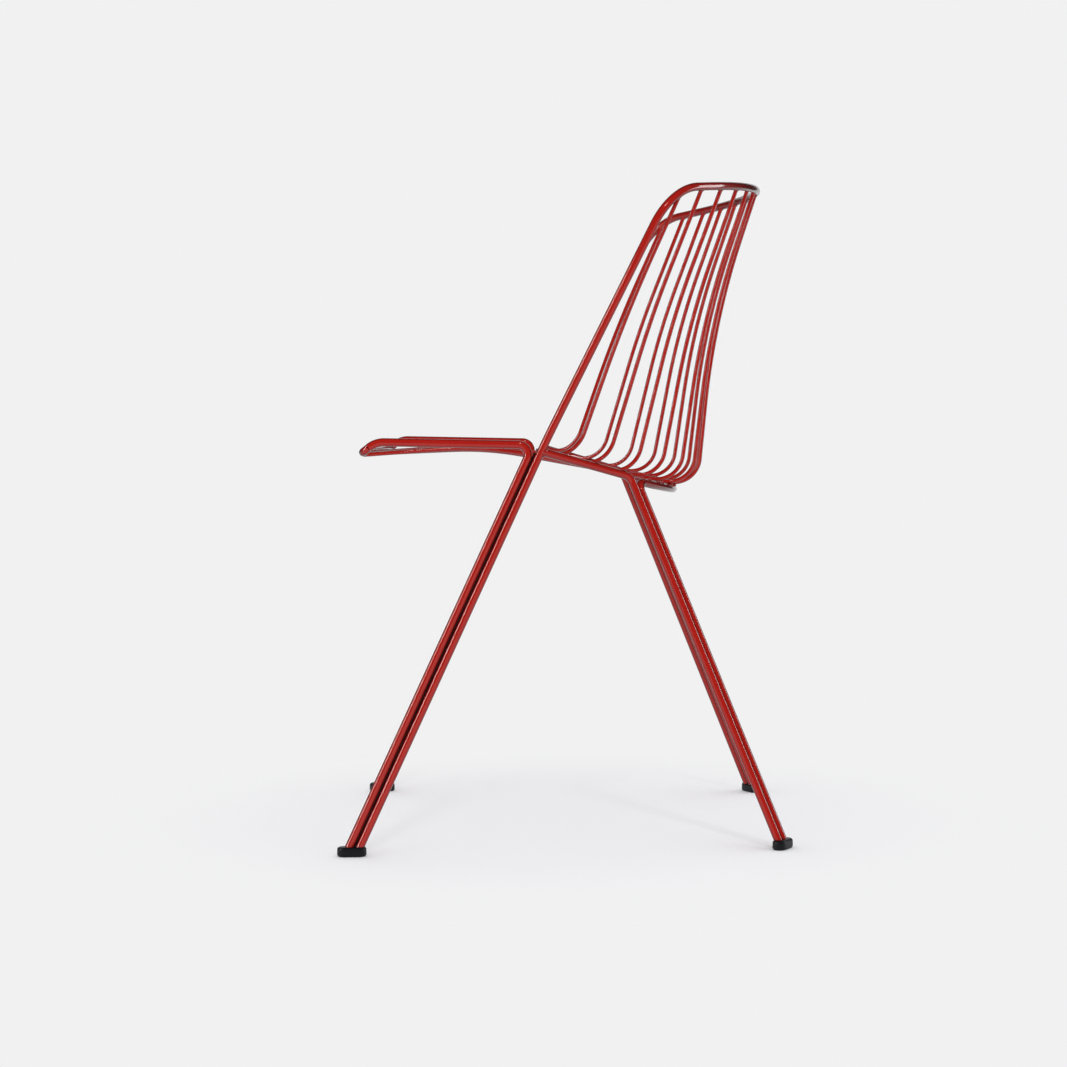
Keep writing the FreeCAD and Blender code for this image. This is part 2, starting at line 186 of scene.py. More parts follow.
@dataclass(frozen=True)
class Bender:
    """Bends a bar along straight runs joined by tangent arcs.

    Attributes:
        straight_step: Longest distance between places on a straight or a slow bend.
        bend_step: Largest turn between places on a bend, in degrees.
        fewest: Fewest steps of a bend.
    """

    straight_step: float = 0.012
    bend_step: float = 5.0
    fewest: int = 3

    def straight(self, start: np.ndarray, end: np.ndarray, normal: np.ndarray) -> CentreLine:
        """Return a straight run from start to end, keeping the normal.

        Args:
            start: Place where the run starts.
            end: Place where it ends.
            normal: Frame normal, which the run keeps.

        Returns:
            The run's part of the centre line.
        """
        run = np.linalg.norm(end - start)
        shares = np.linspace(0.0, 1.0, max(math.ceil(run / self.straight_step), 1) + 1)[:, None]
        points = start + shares * (end - start)
        ways = np.broadcast_to(unit(end - start), points.shape)
        return CentreLine(points, ways, np.broadcast_to(normal, points.shape))

    def arc(self, start: np.ndarray, way: np.ndarray, onward: np.ndarray, radius: float,
            normal: np.ndarray) -> CentreLine:
        """Bend the bar from one direction to the next.

        Formula: the spoke from the arc's centre to its start, and the bar's frame with it,
        turn about the axis way x onward.

        Args:
            start: Place where the arc leaves the straight.
            way: Unit direction before the bend.
            onward: Unit direction after the bend.
            radius: Radius of the bar's axis.
            normal: Frame normal where the arc starts.

        Returns:
            The bend's part of the centre line.
        """
        axis = unit(np.cross(way, onward))
        turn = math.acos(float(np.clip(way @ onward, -1.0, 1.0)))
        by_angle = turn / math.radians(self.bend_step)
        by_length = turn * radius / self.straight_step
        steps = max(math.ceil(max(by_angle, by_length)), self.fewest)
        angles = np.linspace(0.0, turn, steps + 1)
        spoke = np.cross(way, axis) * radius
        points = start - spoke + turned(spoke, axis, angles)
        return CentreLine(points, turned(way, axis, angles), turned(normal, axis, angles))

    def line(self, corners: Sequence[np.ndarray], radii: Sequence[float]) -> CentreLine:
        """Bend a bar through corners.

        Formula: a bend takes radius x tan(half the turn) from the straight on each side of
        its corner.

        Args:
            corners: Ends of the bar, and the corners between its straights.
            radii: Bend radius of each corner but the ends.

        Returns:
            The bar's centre line.
        """
        corners = np.asarray(corners, float)
        runs = np.diff(corners, axis=0)
        ways = runs / np.linalg.norm(runs, axis=1)[:, None]
        turns = np.arccos(np.clip((ways[:-1] * ways[1:]).sum(axis=1), -1.0, 1.0))
        taken = (np.asarray(radii) * np.tan(turns / 2))[:, None]
        arrivals = np.vstack([corners[1:-1] - ways[:-1] * taken, corners[-1:]])
        departures = np.vstack([corners[:1], corners[1:-1] + ways[1:] * taken])
        normal = unit(np.cross(np.cross(ways[0], ACROSS + UP), ways[0]))
        pieces = []
        for index, (start, end) in enumerate(zip(departures, arrivals)):
            pieces.append(self.straight(start, end, normal))
            if index < len(turns):
                pieces.append(self.arc(end, ways[index], ways[index + 1], radii[index], normal))
                normal = pieces[-1].normals[-1]
        return self.joined(pieces)

    @staticmethod
    def joined(pieces: Sequence[CentreLine]) -> CentreLine:
        """Return runs and bends as one line, with each shared end kept once.

        Args:
            pieces: Runs and bends in the order of travel.

        Returns:
            The whole centre line.
        """
        kept = [(p.points[1:], p.tangents[1:], p.normals[1:]) for p in pieces[1:]]
        first = pieces[0]
        columns = zip((first.points, first.tangents, first.normals), *kept)
        return CentreLine(*(np.vstack(column) for column in columns))


BENDER = Bender()


def radius_through(before: np.ndarray, corner: np.ndarray, after: np.ndarray,
                   middle: np.ndarray) -> float:
    """Return the radius of the arc at a corner whose middle is at the given place.

    Formula: depth / (1 / cos(half the turn) - 1), where depth is from the corner to the middle.

    Args:
        before: Place before the corner, on the straight that the arc touches.
        corner: Place where the two straights meet.
        after: Place after the corner.
        middle: Middle of the arc.

    Returns:
        The radius of the arc.
    """
    half = math.acos(float(unit(corner - before) @ unit(after - corner))) / 2
    return float(np.linalg.norm(corner - middle)) / (1.0 / math.cos(half) - 1.0)


@dataclass(frozen=True)
class Patch:
    """Part of a surface: a grid of places, rows along it and columns round it.

    Attributes:
        grid: Places, with shape (rows, columns, 3).
        rows_close: Whether the last row joins the first.
        start_pole: Place that closes the first row, or None.
        end_pole: Place that closes the last row, or None.
    """

    grid: np.ndarray
    rows_close: bool = False
    start_pole: np.ndarray | None = None
    end_pole: np.ndarray | None = None

    def places(self) -> np.ndarray:
        """Return every place of the patch, poles last, as rows."""
        poles = [pole[None] for pole in (self.start_pole, self.end_pole) if pole is not None]
        return np.vstack([self.grid.reshape(-1, 3), *poles])

    def faces(self, offset: int) -> list[list[int]]:
        """Return faces that point outwards where columns turn to the right of travel.

        Formula: place (i, j) has number offset + i x columns + j, and each quad joins rows i
        and i + 1 between columns j and j + 1, counted round. A pole makes triangles with its
        row.

        Args:
            offset: Number of the patch's first place.

        Returns:
            The quads and triangles, as lists of numbers.
        """
        rows, columns = self.grid.shape[:2]
        numbers = offset + np.arange(rows * columns).reshape(rows, columns)
        onward = np.roll(numbers, -1, axis=0) if self.rows_close else numbers[1:]
        below = numbers if self.rows_close else numbers[:-1]
        quads = np.stack(
            [below, np.roll(below, -1, axis=1), np.roll(onward, -1, axis=1), onward], axis=-1
        )
        faces = quads.reshape(-1, 4).tolist()
        first, last = numbers[0], numbers[-1]
        fans = [
            (self.start_pole, np.roll(first, -1), first), (self.end_pole, last, np.roll(last, -1)),
        ]
        kept = [(start, end) for pole, start, end in fans if pole is not None]
        for pole, (start, end) in enumerate(kept, offset + rows * columns):
            faces += np.stack([np.full(columns, pole), start, end], axis=-1).tolist()
        return faces


def make_piece(name: str, patches: Sequence[Patch], sharp_degrees: float = 40.0) -> bpy.types.Object:
    """Make one mesh object out of patches, smooth but for its sharp edges.

    Args:
        name: Name of the piece.
        patches: Surfaces that the piece consists of.
        sharp_degrees: Edges that turn more than this stay sharp.

    Returns:
        The new object, at the origin, unturned and unscaled.
    """
    places = [patch.places() for patch in patches]
    offsets = np.cumsum([0] + [len(rows) for rows in places])
    faces = [face for patch, offset in zip(patches, offsets) for face in patch.faces(offset)]
    mesh = bpy.data.meshes.new(name)
    mesh.from_pydata(np.vstack(places).tolist(), [], faces)
    mesh.polygons.foreach_set("use_smooth", np.ones(len(mesh.polygons), bool))
    mesh.set_sharp_from_angle(angle=math.radians(sharp_degrees))
    mesh.update()
    piece = bpy.data.objects.new(name, mesh)
    bpy.context.scene.collection.objects.link(piece)
    return piece


def on_side(patch: Patch, side: Side) -> Patch:
    """Return a left patch as it is, or its mirror image with columns turned to face outwards.

    Args:
        patch: Surface on the left side.
        side: Side that it is wanted on.

    Returns:
        The surface on that side.
    """
    if side is Side.LEFT:
        return patch
    poles = [None if pole is None else pole * MIRROR for pole in (patch.start_pole, patch.end_pole)]
    return Patch((patch.grid * MIRROR)[:, ::-1], patch.rows_close, *poles)


def stand_for(piece: bpy.types.Object, node: str) -> bpy.types.Object:
    """Make a piece ride on the chair in place of a CAD node.

    Args:
        piece: Piece of the dressed chair.
        node: Name of the CAD node.

    Returns:
        The same piece.
    """
    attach(piece, "root")
    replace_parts(piece, node)
    return piece


def add_to_chair(piece: bpy.types.Object) -> bpy.types.Object:
    """Make a piece that has no CAD node ride on the chair.

    Args:
        piece: Piece of the dressed chair.

    Returns:
        The same piece.
    """
    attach(piece, "root")
    return piece


def paint(pieces: Sequence[bpy.types.Object], material: bpy.types.Material) -> None:
    """Give pieces one material.

    Args:
        pieces: Pieces to paint.
        material: Finish that they get.
    """
    for piece in pieces:
        piece.data.materials.clear()
        piece.data.materials.append(material)


@dataclass(frozen=True)
class Bar:
    """Round bar along a centre line, with a small bevel round each cut end.

    Attributes:
        line: Axis of the bar.
        stock: Bar that it is made of.
        bevel: Width of the bevel at each end.
    """

    line: CentreLine
    stock: Stock
    bevel: float = 0.0004

    def patch(self, radius: float | None = None) -> Patch:
        """Return the bar's surface.

        Formula: place = axis point + radius x (normal cos a + binormal sin a). The first
        and last rows are drawn in by the bevel, and a pole closes each end.

        Args:
            radius: Radius of the bar, where it isn't its stock's.

        Returns:
            The closed surface.
        """
        line = self.line
        points, tangents, normals = (
            np.vstack([rows[:1], rows, rows[-1:]])
            for rows in (line.points, line.tangents, line.normals)
        )
        points[1] += tangents[1] * self.bevel
        points[-2] -= tangents[-2] * self.bevel
        radii = np.full(len(points), radius or self.stock.radius)
        radii[[0, -1]] -= self.bevel
        angles = full_turn(self.stock.facets)[:, None]
        binormals = np.cross(tangents, normals)
        spokes = normals[:, None] * np.cos(angles) + binormals[:, None] * np.sin(angles)
        grid = points[:, None] + spokes * radii[:, None, None]
        return Patch(grid, start_pole=line.points[0], end_pole=line.points[-1])


@dataclass(frozen=True)
class Joint:
    """Joint where one bar ends on the side of another.

    Attributes:
        end: Place where the two axes meet.
        away: Unit direction of the bar that ends, away from the other.
        host_way: Unit direction of the bar that carries it.
        stock: Stock of the bar that ends.
        host: Stock of the bar that carries it.
    """

    end: np.ndarray
    away: np.ndarray
    host_way: np.ndarray
    stock: Stock
    host: Stock

    def spokes(self) -> np.ndarray:
        """Return unit vectors round the bar that ends, square to it, as rows."""
        first = unit(np.cross(self.away, self.host_way))
        return round_about(first, np.cross(self.away, first), full_turn(2 * self.stock.facets))

    def along(self, spokes: np.ndarray, reach: float) -> np.ndarray:
        """Return how far along the bar that ends its offset lines leave the other's surface.

        Formula: the larger root s of |s w + e| = host radius, where w and e are the bar's
        direction and the line's offset, both without their part along the host.

        Args:
            spokes: Unit vectors square to the bar that ends, as rows.
            reach: Distance of the lines from that bar's axis.

        Returns:
            One distance for each spoke.
        """
        way = self.away - self.host_way * (self.away @ self.host_way)
        offsets = spokes * reach
        offsets = offsets - np.outer(offsets @ self.host_way, self.host_way)
        half_b = offsets @ way
        inside = half_b**2 - (way @ way) * ((offsets**2).sum(axis=1) - self.host.radius**2)
        return (np.sqrt(np.maximum(inside, 0.0)) - half_b) / (way @ way)


@dataclass(frozen=True)
class Fillet(Joint):
    """Weld that fills the corner round a joint.

    Attributes:
        leg: Width of the weld on both bars.
        hollow: Share of the leg that the weld's curve is drawn out from the corner.
        skin: Depth of the toes under the bars' surfaces.
        rows: Places across the weld.
    """

    leg: float = 0.0021
    hollow: float = 0.22
    skin: float = 0.0001
    rows: int = 9

    def patch(self) -> Patch:
        """Return the weld as a closed ring.

        Formula: at each angle round the bar the outline runs from a toe on the host to a toe
        on the bar as a quadratic curve drawn towards the corner between them, and back
        through two points under the skins.

        Returns:
            The closed surface.
        """
        spokes = self.spokes()
        bar = self.stock.radius
        wide = bar + self.leg
        corner, host_toe = self.along(spokes, bar), self.along(spokes, wide)
        control = corner + self.hollow * self.leg
        reaches = np.array([wide, bar + self.hollow * self.leg, bar - self.skin])
        alongs = np.stack([host_toe - self.skin, control, corner + self.leg])
        shares = np.linspace(0.0, 1.0, self.rows)
        weights = np.stack([(1 - shares) ** 2, 2 * shares * (1 - shares), shares**2], axis=1)
        reaches = np.append(weights @ reaches, [bar / 2, wide - self.skin])
        alongs = np.vstack([weights @ alongs, corner - self.skin, host_toe - 2 * self.skin])
        grid = self.end + alongs[:, :, None] * self.away + reaches[:, None, None] * spokes
        return Patch(grid, rows_close=True)


@dataclass(frozen=True)
class Ring(Joint):
    """Weld bead that runs round a joint.

    Attributes:
        bead: Radius of the bead.
        sink: Share of the bar's radius at which the bead's axis runs.
        facets: Places round the bead.
    """

    bead: float = 0.0019
    sink: float = 0.96
    facets: int = 12

    def patch(self) -> Patch:
        """Return the bead as a closed tube.

        Formula: its axis is where the two bars' skins meet, drawn in by a share so that the
        bead sits in the corner, and its section is a circle of the spoke and the away
        direction.

        Returns:
            The closed surface.
        """
        spokes = self.spokes()
        reach = self.sink * self.stock.radius
        axis = self.end + spokes * reach + self.along(spokes, reach)[:, None] * self.away
        angles = full_turn(self.facets)[:, None]
        section = np.sin(angles) * spokes[:, None] + np.cos(angles) * self.away
        return Patch(axis[:, None] + self.bead * section, rows_close=True)


@dataclass(frozen=True)
class Bead:
    """Small spot weld in the corner where two bars cross or touch.

    Attributes:
        centre: Middle of the bead.
        long_way: Unit direction of its longest half width.
        flat_way: Direction of its shortest half width.
        halves: Half widths along long_way, across both and along flat_way.
        rows: Rows of places from pole to pole.
        columns: Places in a row.
    """

    centre: np.ndarray
    long_way: np.ndarray
    flat_way: np.ndarray
    halves: Triple
    rows: int = 9
    columns: int = 16

    def patch(self) -> Patch:
        """Return the bead as an ellipsoid with its poles on the long direction.

        Formula: long half x cos p along, side half x sin p cos a across and flat half
        x sin p sin a up, for p from pole to pole and a round.

        Returns:
            The closed surface.
        """
        flat = unit(self.flat_way - self.long_way * (self.flat_way @ self.long_way))
        cross = np.cross(flat, self.long_way)
        polar = np.linspace(0.0, math.pi, self.rows + 2)[1:-1, None, None]
        long_half, side_half, flat_half = self.halves
        reach = self.long_way * long_half
        waist = round_about(side_half * cross, flat_half * flat, full_turn(self.columns))
        grid = self.centre - np.cos(polar) * reach + np.sin(polar) * waist
        return Patch(grid, start_pole=self.centre - reach, end_pole=self.centre + reach)


@dataclass
class FootGlides:
    """Four moulded pads under the leg pairs, each with two rods let into its top.

    Attributes:
        length: Overall length of a pad.
        width: Overall width of a pad.
        height: Height of a pad.
        floor: Height of the rod ends inside a pad.
        depth: Footprint of the chair from the front of the pads to the back.
        front_spread: Distance between the front pads' middles.
        rear_spread: Distance between the rear pads' middles.
        rear_turn: Angle in degrees by which the rear pads are turned outwards.
        rim_radius: Radius round the top.
        sole_radius: Radius round the underside.
        draft: How far the wall leans in from sole to rim.
        sole_share: Share of the half width where the flat of the sole has a row of places.
        crown_share: Share of the half width where the flat of the top has one.
        sole_rows: Rows of places round the sole.
        rim_rows: Rows of places round the rim.
    """

    length: float = 0.035
    width: float = 0.017
    height: float = 0.0115
    floor: float = 0.004
    depth: float = 0.5435
    front_spread: float = 0.510
    rear_spread: float = 0.448
    rear_turn: float = 60.0
    rim_radius: float = 0.003
    sole_radius: float = 0.003
    draft: float = 0.00015
    sole_share: float = 0.45
    crown_share: float = 0.40
    sole_rows: int = 6
    rim_rows: int = 9

    @property
    def front_foot(self) -> np.ndarray:
        """Middle of the left front leg pair where its rods end."""
        return np.array([self.front_spread / 2, -(self.depth - self.length) / 2, self.floor])

    @property
    def rear_foot(self) -> np.ndarray:
        """Middle of the left rear leg pair where its rods end."""
        run = (self.length - self.width) / 2 * math.cos(math.radians(self.rear_turn))
        return np.array([self.rear_spread / 2, self.depth / 2 - run - self.width / 2, self.floor])

    def outline(self, count: int = 20) -> tuple[np.ndarray, np.ndarray]:
        """Return the plan of a pad.

        Formula: two half circles of directions, one about each end of a short spine along Y.

        Args:
            count: Places on each half circle.

        Returns:
            Places on the spine, and unit directions outwards from them, as rows.
        """
        half = (self.length - self.width) / 2
        front = np.linspace(-math.pi, 0.0, count)
        ways = round_about(ACROSS, REARWARD, np.concatenate([front, front + math.pi]))
        return np.outer(np.repeat([-half, half], count), REARWARD), ways

    def section(self) -> tuple[np.ndarray, np.ndarray]:
        """Return distance from the spine and height of a pad's wall, from sole to crown.

        Formula: a quarter round at the sole, a straight wall with a hair of draft, a
        quarter round at the rim and a flat top.

        Returns:
            Distances and heights, one of each for every row of places.
        """
        wall = self.width / 2
        sole = np.linspace(0.0, math.pi / 2, self.sole_rows)
        rim = np.linspace(0.0, math.pi / 2, self.rim_rows)
        outs = np.concatenate([
            [wall * self.sole_share],
            wall - self.sole_radius * (1.0 - np.sin(sole)),
            wall - self.draft - self.rim_radius * (1.0 - np.cos(rim)),
            [wall * self.crown_share],
        ])
        heights = np.concatenate([
            [0.0],
            self.sole_radius * (1.0 - np.cos(sole)),
            self.height - self.rim_radius * (1.0 - np.sin(rim)),
            [self.height],
        ])
        return outs, heights

    def pad(self, side: Side, foot: np.ndarray, turn: float) -> Patch:
        """Return one pad's surface, turned about the vertical and set under its leg.

        Args:
            side: Side of the chair.
            foot: Middle of the left leg pair where its rods end.
            turn: Angle in degrees by which the pad is turned outwards.

        Returns:
            The closed surface.
        """
        spine, ways = self.outline()
        outs, heights = self.section()
        grid = spine + ways * outs[:, None, None] + UP * heights[:, None, None]
        angle = side.value * math.radians(turn)
        along, across = math.cos(angle), math.sin(angle)
        spin = np.array([[along, across, 0.0], [-across, along, 0.0], UP])
        place = np.array([foot[0] * side.value, foot[1], 0.0])
        return Patch(grid @ spin + place, start_pole=place, end_pole=place + UP * heights[-1])

    def build(self) -> list[bpy.types.Object]:
        """Make the four pads in place of their CAD nodes.

        Returns:
            The four pieces.
        """
        pieces = []
        for side in Side:
            for place, foot, turn in (
                ("front", self.front_foot, 0.0),
                ("rear", self.rear_foot, self.rear_turn),
            ):
                node = f"glide_{place}_{side.word}"
                piece = make_piece(f"foot_{node}", [self.pad(side, foot, turn)])
                pieces.append(stand_for(piece, node))
        return pieces


@dataclass
class FrontLegs:
    """Leaning pair of rods on each side, which carries on as the seat rim and the back.

    Attributes:
        glides: Pads that the legs stand in.
        lean: Angle in degrees by which the legs lean back.
        splay: Angle in degrees by which the legs spread towards the floor.
        weld_gap: Gap between the two rods of a pair.
    """

    glides: FootGlides
    lean: float = 25.1
    splay: float = 2.27
    weld_gap: float = 0.0017

    @property
    def pair_half(self) -> float:
        """Distance of each rod's axis from the middle of its pair."""
        return Stock.ROD.radius + self.weld_gap / 2

    @property
    def offset(self) -> np.ndarray:
        """Level step from the middle of the pair to its rear rod."""
        return REARWARD * self.pair_half / math.cos(math.radians(self.lean))

    @property
    def way(self) -> np.ndarray:
        """Direction of the left leg, for a rise of one."""
        return np.array([-slope(self.splay), slope(self.lean), 1.0])

    def at(self, height: float, offset: np.ndarray) -> np.ndarray:
        """Return the place of a leg's axis at a height, stepped off by an offset."""
        foot = self.glides.front_foot
        return foot + offset + self.way * (height - foot[2])


@dataclass
class SeatFrame:
    """Front leg rods, seat sides and the nose of the seat, one bent rod.

    Attributes:
        legs: Leg pairs that the rod starts and ends in.
        rail_height: Height of the seat sides at the legs.
        bend_radius: Bend from leg to seat side.
        width: Distance between the seat sides.
        crest_reach: From the leg bend forward to where the sides start to fall.
        crest_rise: Rise of the sides up to there.
        crest_radius: Bend of that crest.
        nose_reach: From the leg bend forward to the nose corners.
        nose_drop: Fall from the leg bend to the nose corners.
        nose_corner_radius: Bend of the nose corners.
        nose_bow: How far the nose stands forward of its corners.
        nose_bow_drop: Fall from the corners to the middle of the nose.
        nose_bow_radius: Bend across the nose.
        line: Centre line of the rod.
    """

    legs: FrontLegs
    rail_height: float = 0.4853
    bend_radius: float = 0.012
    width: float = 0.476
    crest_reach: float = 0.1875
    crest_rise: float = 0.0050
    crest_radius: float = 0.028
    nose_reach: float = 0.2020
    nose_drop: float = 0.0070
    nose_corner_radius: float = 0.009
    nose_bow: float = 0.0185
    nose_bow_drop: float = 0.0005
    nose_bow_radius: float = 1.2
    line: CentreLine = field(init=False)

    @property
    def bend(self) -> np.ndarray:
        """Corner between the left front leg and the seat side."""
        return self.legs.at(self.rail_height, -self.legs.offset)

    def __post_init__(self) -> None:
        """Work out the centre line from foot to foot."""
        half, bend = self.width / 2, self.bend
        crest = np.array([half, bend[1] - self.crest_reach, bend[2] + self.crest_rise])
        corner = np.array([half, bend[1] - self.nose_reach, bend[2] - self.nose_drop])
        tip = corner - np.array([half, self.nose_bow, self.nose_bow_drop])
        foot = self.legs.at(self.legs.glides.floor, -self.legs.offset)
        left = [foot, bend, crest, corner]
        radii = [self.bend_radius, self.crest_radius, self.nose_corner_radius]
        corners = left + [tip] + [place * MIRROR for place in reversed(left)]
        self.line = BENDER.line(corners, radii + [self.nose_bow_radius] + radii[::-1])

    def build(self) -> list[bpy.types.Object]:
        """Make the rod in place of its CAD node."""
        piece = make_piece("seat_rim", [Bar(self.line, Stock.ROD).patch()])
        return [stand_for(piece, "seat_frame")]


@dataclass
class BackFrame:
    """Front leg rods, back sides and the curved top rail, one bent rod.

    Attributes:
        legs: Leg pairs that the rod starts and ends in.
        seat: Seat frame that the back rises from.
        height: Height of the chair.
        knee_rise: Height of the knee above the seat sides.
        knee_radius: Slow bend where the sides lean back more than the legs.
        side_lean: Angle in degrees by which the sides lean back.
        shoulder_width: Distance between the shoulders.
        shoulder_radius: Bend of the shoulders.
        rail_bow: How far the top rail stands back from the shoulders.
        rail_plan_angle: Angle in degrees at which the rail leaves the shoulders in plan.
        rail_tilt: Angle in degrees by which the rail rises towards the back.
        line: Centre line of the rod.
        rail_middle: Middle of the top rail.
    """

    legs: FrontLegs
    seat: SeatFrame
    height: float = 0.8085
    knee_rise: float = 0.0047
    knee_radius: float = 0.400
    side_lean: float = 27.0
    shoulder_width: float = 0.486
    shoulder_radius: float = 0.070
    rail_bow: float = 0.1186
    rail_plan_angle: float = 41.8
    rail_tilt: float = 7.4
    line: CentreLine = field(init=False)
    rail_middle: np.ndarray = field(init=False)

    def __post_init__(self) -> None:
        """Work out the centre line from foot to foot."""
        knee = self.legs.at(self.seat.bend[2] + self.knee_rise, self.legs.offset)
        top = self.height - Stock.ROD.radius
        shoulder_z = top - slope(self.rail_tilt) * self.rail_bow
        shoulder = np.array([
            self.shoulder_width / 2,
            knee[1] + slope(self.side_lean) * (shoulder_z - knee[2]),
            shoulder_z,
        ])
        self.rail_middle = np.array([0.0, shoulder[1] + self.rail_bow, top])
        apex_y = shoulder[1] + shoulder[0] * slope(self.rail_plan_angle)
        apex_z = top + slope(self.rail_tilt) * (apex_y - self.rail_middle[1])
        apex = np.array([0.0, apex_y, apex_z])
        rail_radius = radius_through(shoulder, apex, shoulder * MIRROR, self.rail_middle)
        foot = self.legs.at(self.legs.glides.floor, self.legs.offset)
        left = [foot, knee, shoulder]
        radii = [self.knee_radius, self.shoulder_radius]
        corners = left + [apex] + [place * MIRROR for place in reversed(left)]
        self.line = BENDER.line(corners, radii + [rail_radius] + radii[::-1])

    def build(self) -> list[bpy.types.Object]:
        """Make the rod in place of its CAD node."""
        piece = make_piece("back_hoop", [Bar(self.line, Stock.ROD).patch()])
        return [stand_for(piece, "back_frame")]


@dataclass
class RearFrame:
    """Rear leg pairs: the outer rods run forward as side rails, the inner one as a crossbar.

    Attributes:
        legs: Front leg pairs that the side rails run up to.
        seat: Seat frame that the side rails' height is measured from.
        side_rail_drop: From the seat sides down to the side rails' front ends.
        side_rail_slope: Angle in degrees by which the side rails fall towards the back.
        side_rail_radius: Bend from rear leg to side rail.
        bend_width: Distance between those bends.
        lean: Angle in degrees by which the rear legs lean.
        crossbar_height: Height of the crossbar's ends.
        crossbar_bow: How far the crossbar stands back from its ends.
        crossbar_plan_angle: Angle in degrees at which it leaves its ends in plan.
        crossbar_tilt: Angle in degrees by which it falls towards the back.
        crossbar_bend_radius: Bend from rear leg to crossbar.
        crossbar_bend_room: Width next to the side rails' bends that the bowed run leaves free.
        side_rail: Centre line of the left rod.
        crossbar: Centre line of the inner rod.
        side_bend: Corner between the left rear leg and its side rail.
        side_front: Front end of the left side rail.
        cross_middle: Middle of the crossbar.
    """

    legs: FrontLegs
    seat: SeatFrame
    side_rail_drop: float = 0.0078
    side_rail_slope: float = 16.7
    side_rail_radius: float = 0.014
    bend_width: float = 0.333
    lean: float = 21.5
    crossbar_height: float = 0.4393
    crossbar_bow: float = 0.0512
    crossbar_plan_angle: float = 33.0
    crossbar_tilt: float = 14.6
    crossbar_bend_radius: float = 0.012
    crossbar_bend_room: float = 0.020
    side_rail: CentreLine = field(init=False)
    crossbar: CentreLine = field(init=False)
    side_bend: np.ndarray = field(init=False)
    side_front: np.ndarray = field(init=False)
    cross_middle: np.ndarray = field(init=False)

    def __post_init__(self) -> None:
        """Work out the centre lines of a side rail and of the crossbar.

        Formula: a side rail bends where the line of the leaning leg meets that of the falling
        rail, seen from the side. The crossbar's rod rises beside it up to the crossbar's height,
        and the bow's corner lies where the two ends' directions in plan meet.
        """
        glides = self.legs.glides
        turn = math.radians(glides.rear_turn)
        step = self.legs.pair_half * np.array([
            math.sin(turn), -math.cos(turn) / math.cos(math.radians(self.lean)), 0.0,
        ])
        leg, fall = -slope(self.lean), -slope(self.side_rail_slope)
        front = self.legs.at(self.seat.bend[2] - self.side_rail_drop, self.legs.offset)
        foot = glides.rear_foot + step
        bend_y = (foot[1] + leg * (front[2] - fall * front[1] - foot[2])) / (1.0 - leg * fall)
        bend_z = front[2] + fall * (bend_y - front[1])
        self.side_front = front
        self.side_bend = np.array([self.bend_width / 2, bend_y, bend_z])
        self.side_rail = BENDER.line([foot, self.side_bend, front], [self.side_rail_radius])
        rise = unit(self.side_bend - foot)
        inner = glides.rear_foot - step
        bend = inner + rise * (self.crossbar_height - inner[2]) / rise[2]
        backwards = np.array([0.0, 1.0, -slope(self.crossbar_tilt)])
        between = bend * (UP + REARWARD)
        self.cross_middle = between + backwards * self.crossbar_bow
        apex = between + backwards * bend[0] * slope(self.crossbar_plan_angle)
        bow_radius = radius_through(bend, apex, bend * MIRROR, self.cross_middle)
        self.crossbar = BENDER.line(
            [inner, bend, apex, bend * MIRROR, inner * MIRROR],
            [self.crossbar_bend_radius, bow_radius, self.crossbar_bend_radius],
        )

    def crossbar_at(self, width: float) -> np.ndarray:
        """Return the place of the bowed bar at a distance from the chair's middle.

        Args:
            width: Distance from the chair's middle.

        Returns:
            The place on the bar's axis.
        """
        points = self.crossbar.points
        bowed_half = self.side_bend[0] - self.crossbar_bend_room
        bowed = points[np.abs(points[:, 0]) < bowed_half][::-1]
        return np.array([width, *(np.interp(width, bowed[:, 0], c) for c in bowed.T[1:])])

    def build(self) -> list[bpy.types.Object]:
        """Make the side rails and the crossbar in place of their CAD nodes.

        Returns:
            The bar and the two side rails.
        """
        bar = make_piece("rear_legs_and_crossbar", [Bar(self.crossbar, Stock.ROD).patch()])
        pieces = [stand_for(bar, "rear_crossbar")]
        for side in Side:
            patch = on_side(Bar(self.side_rail, Stock.ROD).patch(), side)
            piece = make_piece(f"rear_leg_and_rail_{side.word}", [patch])
            pieces.append(stand_for(piece, f"side_rail_{side.word}"))
        return pieces


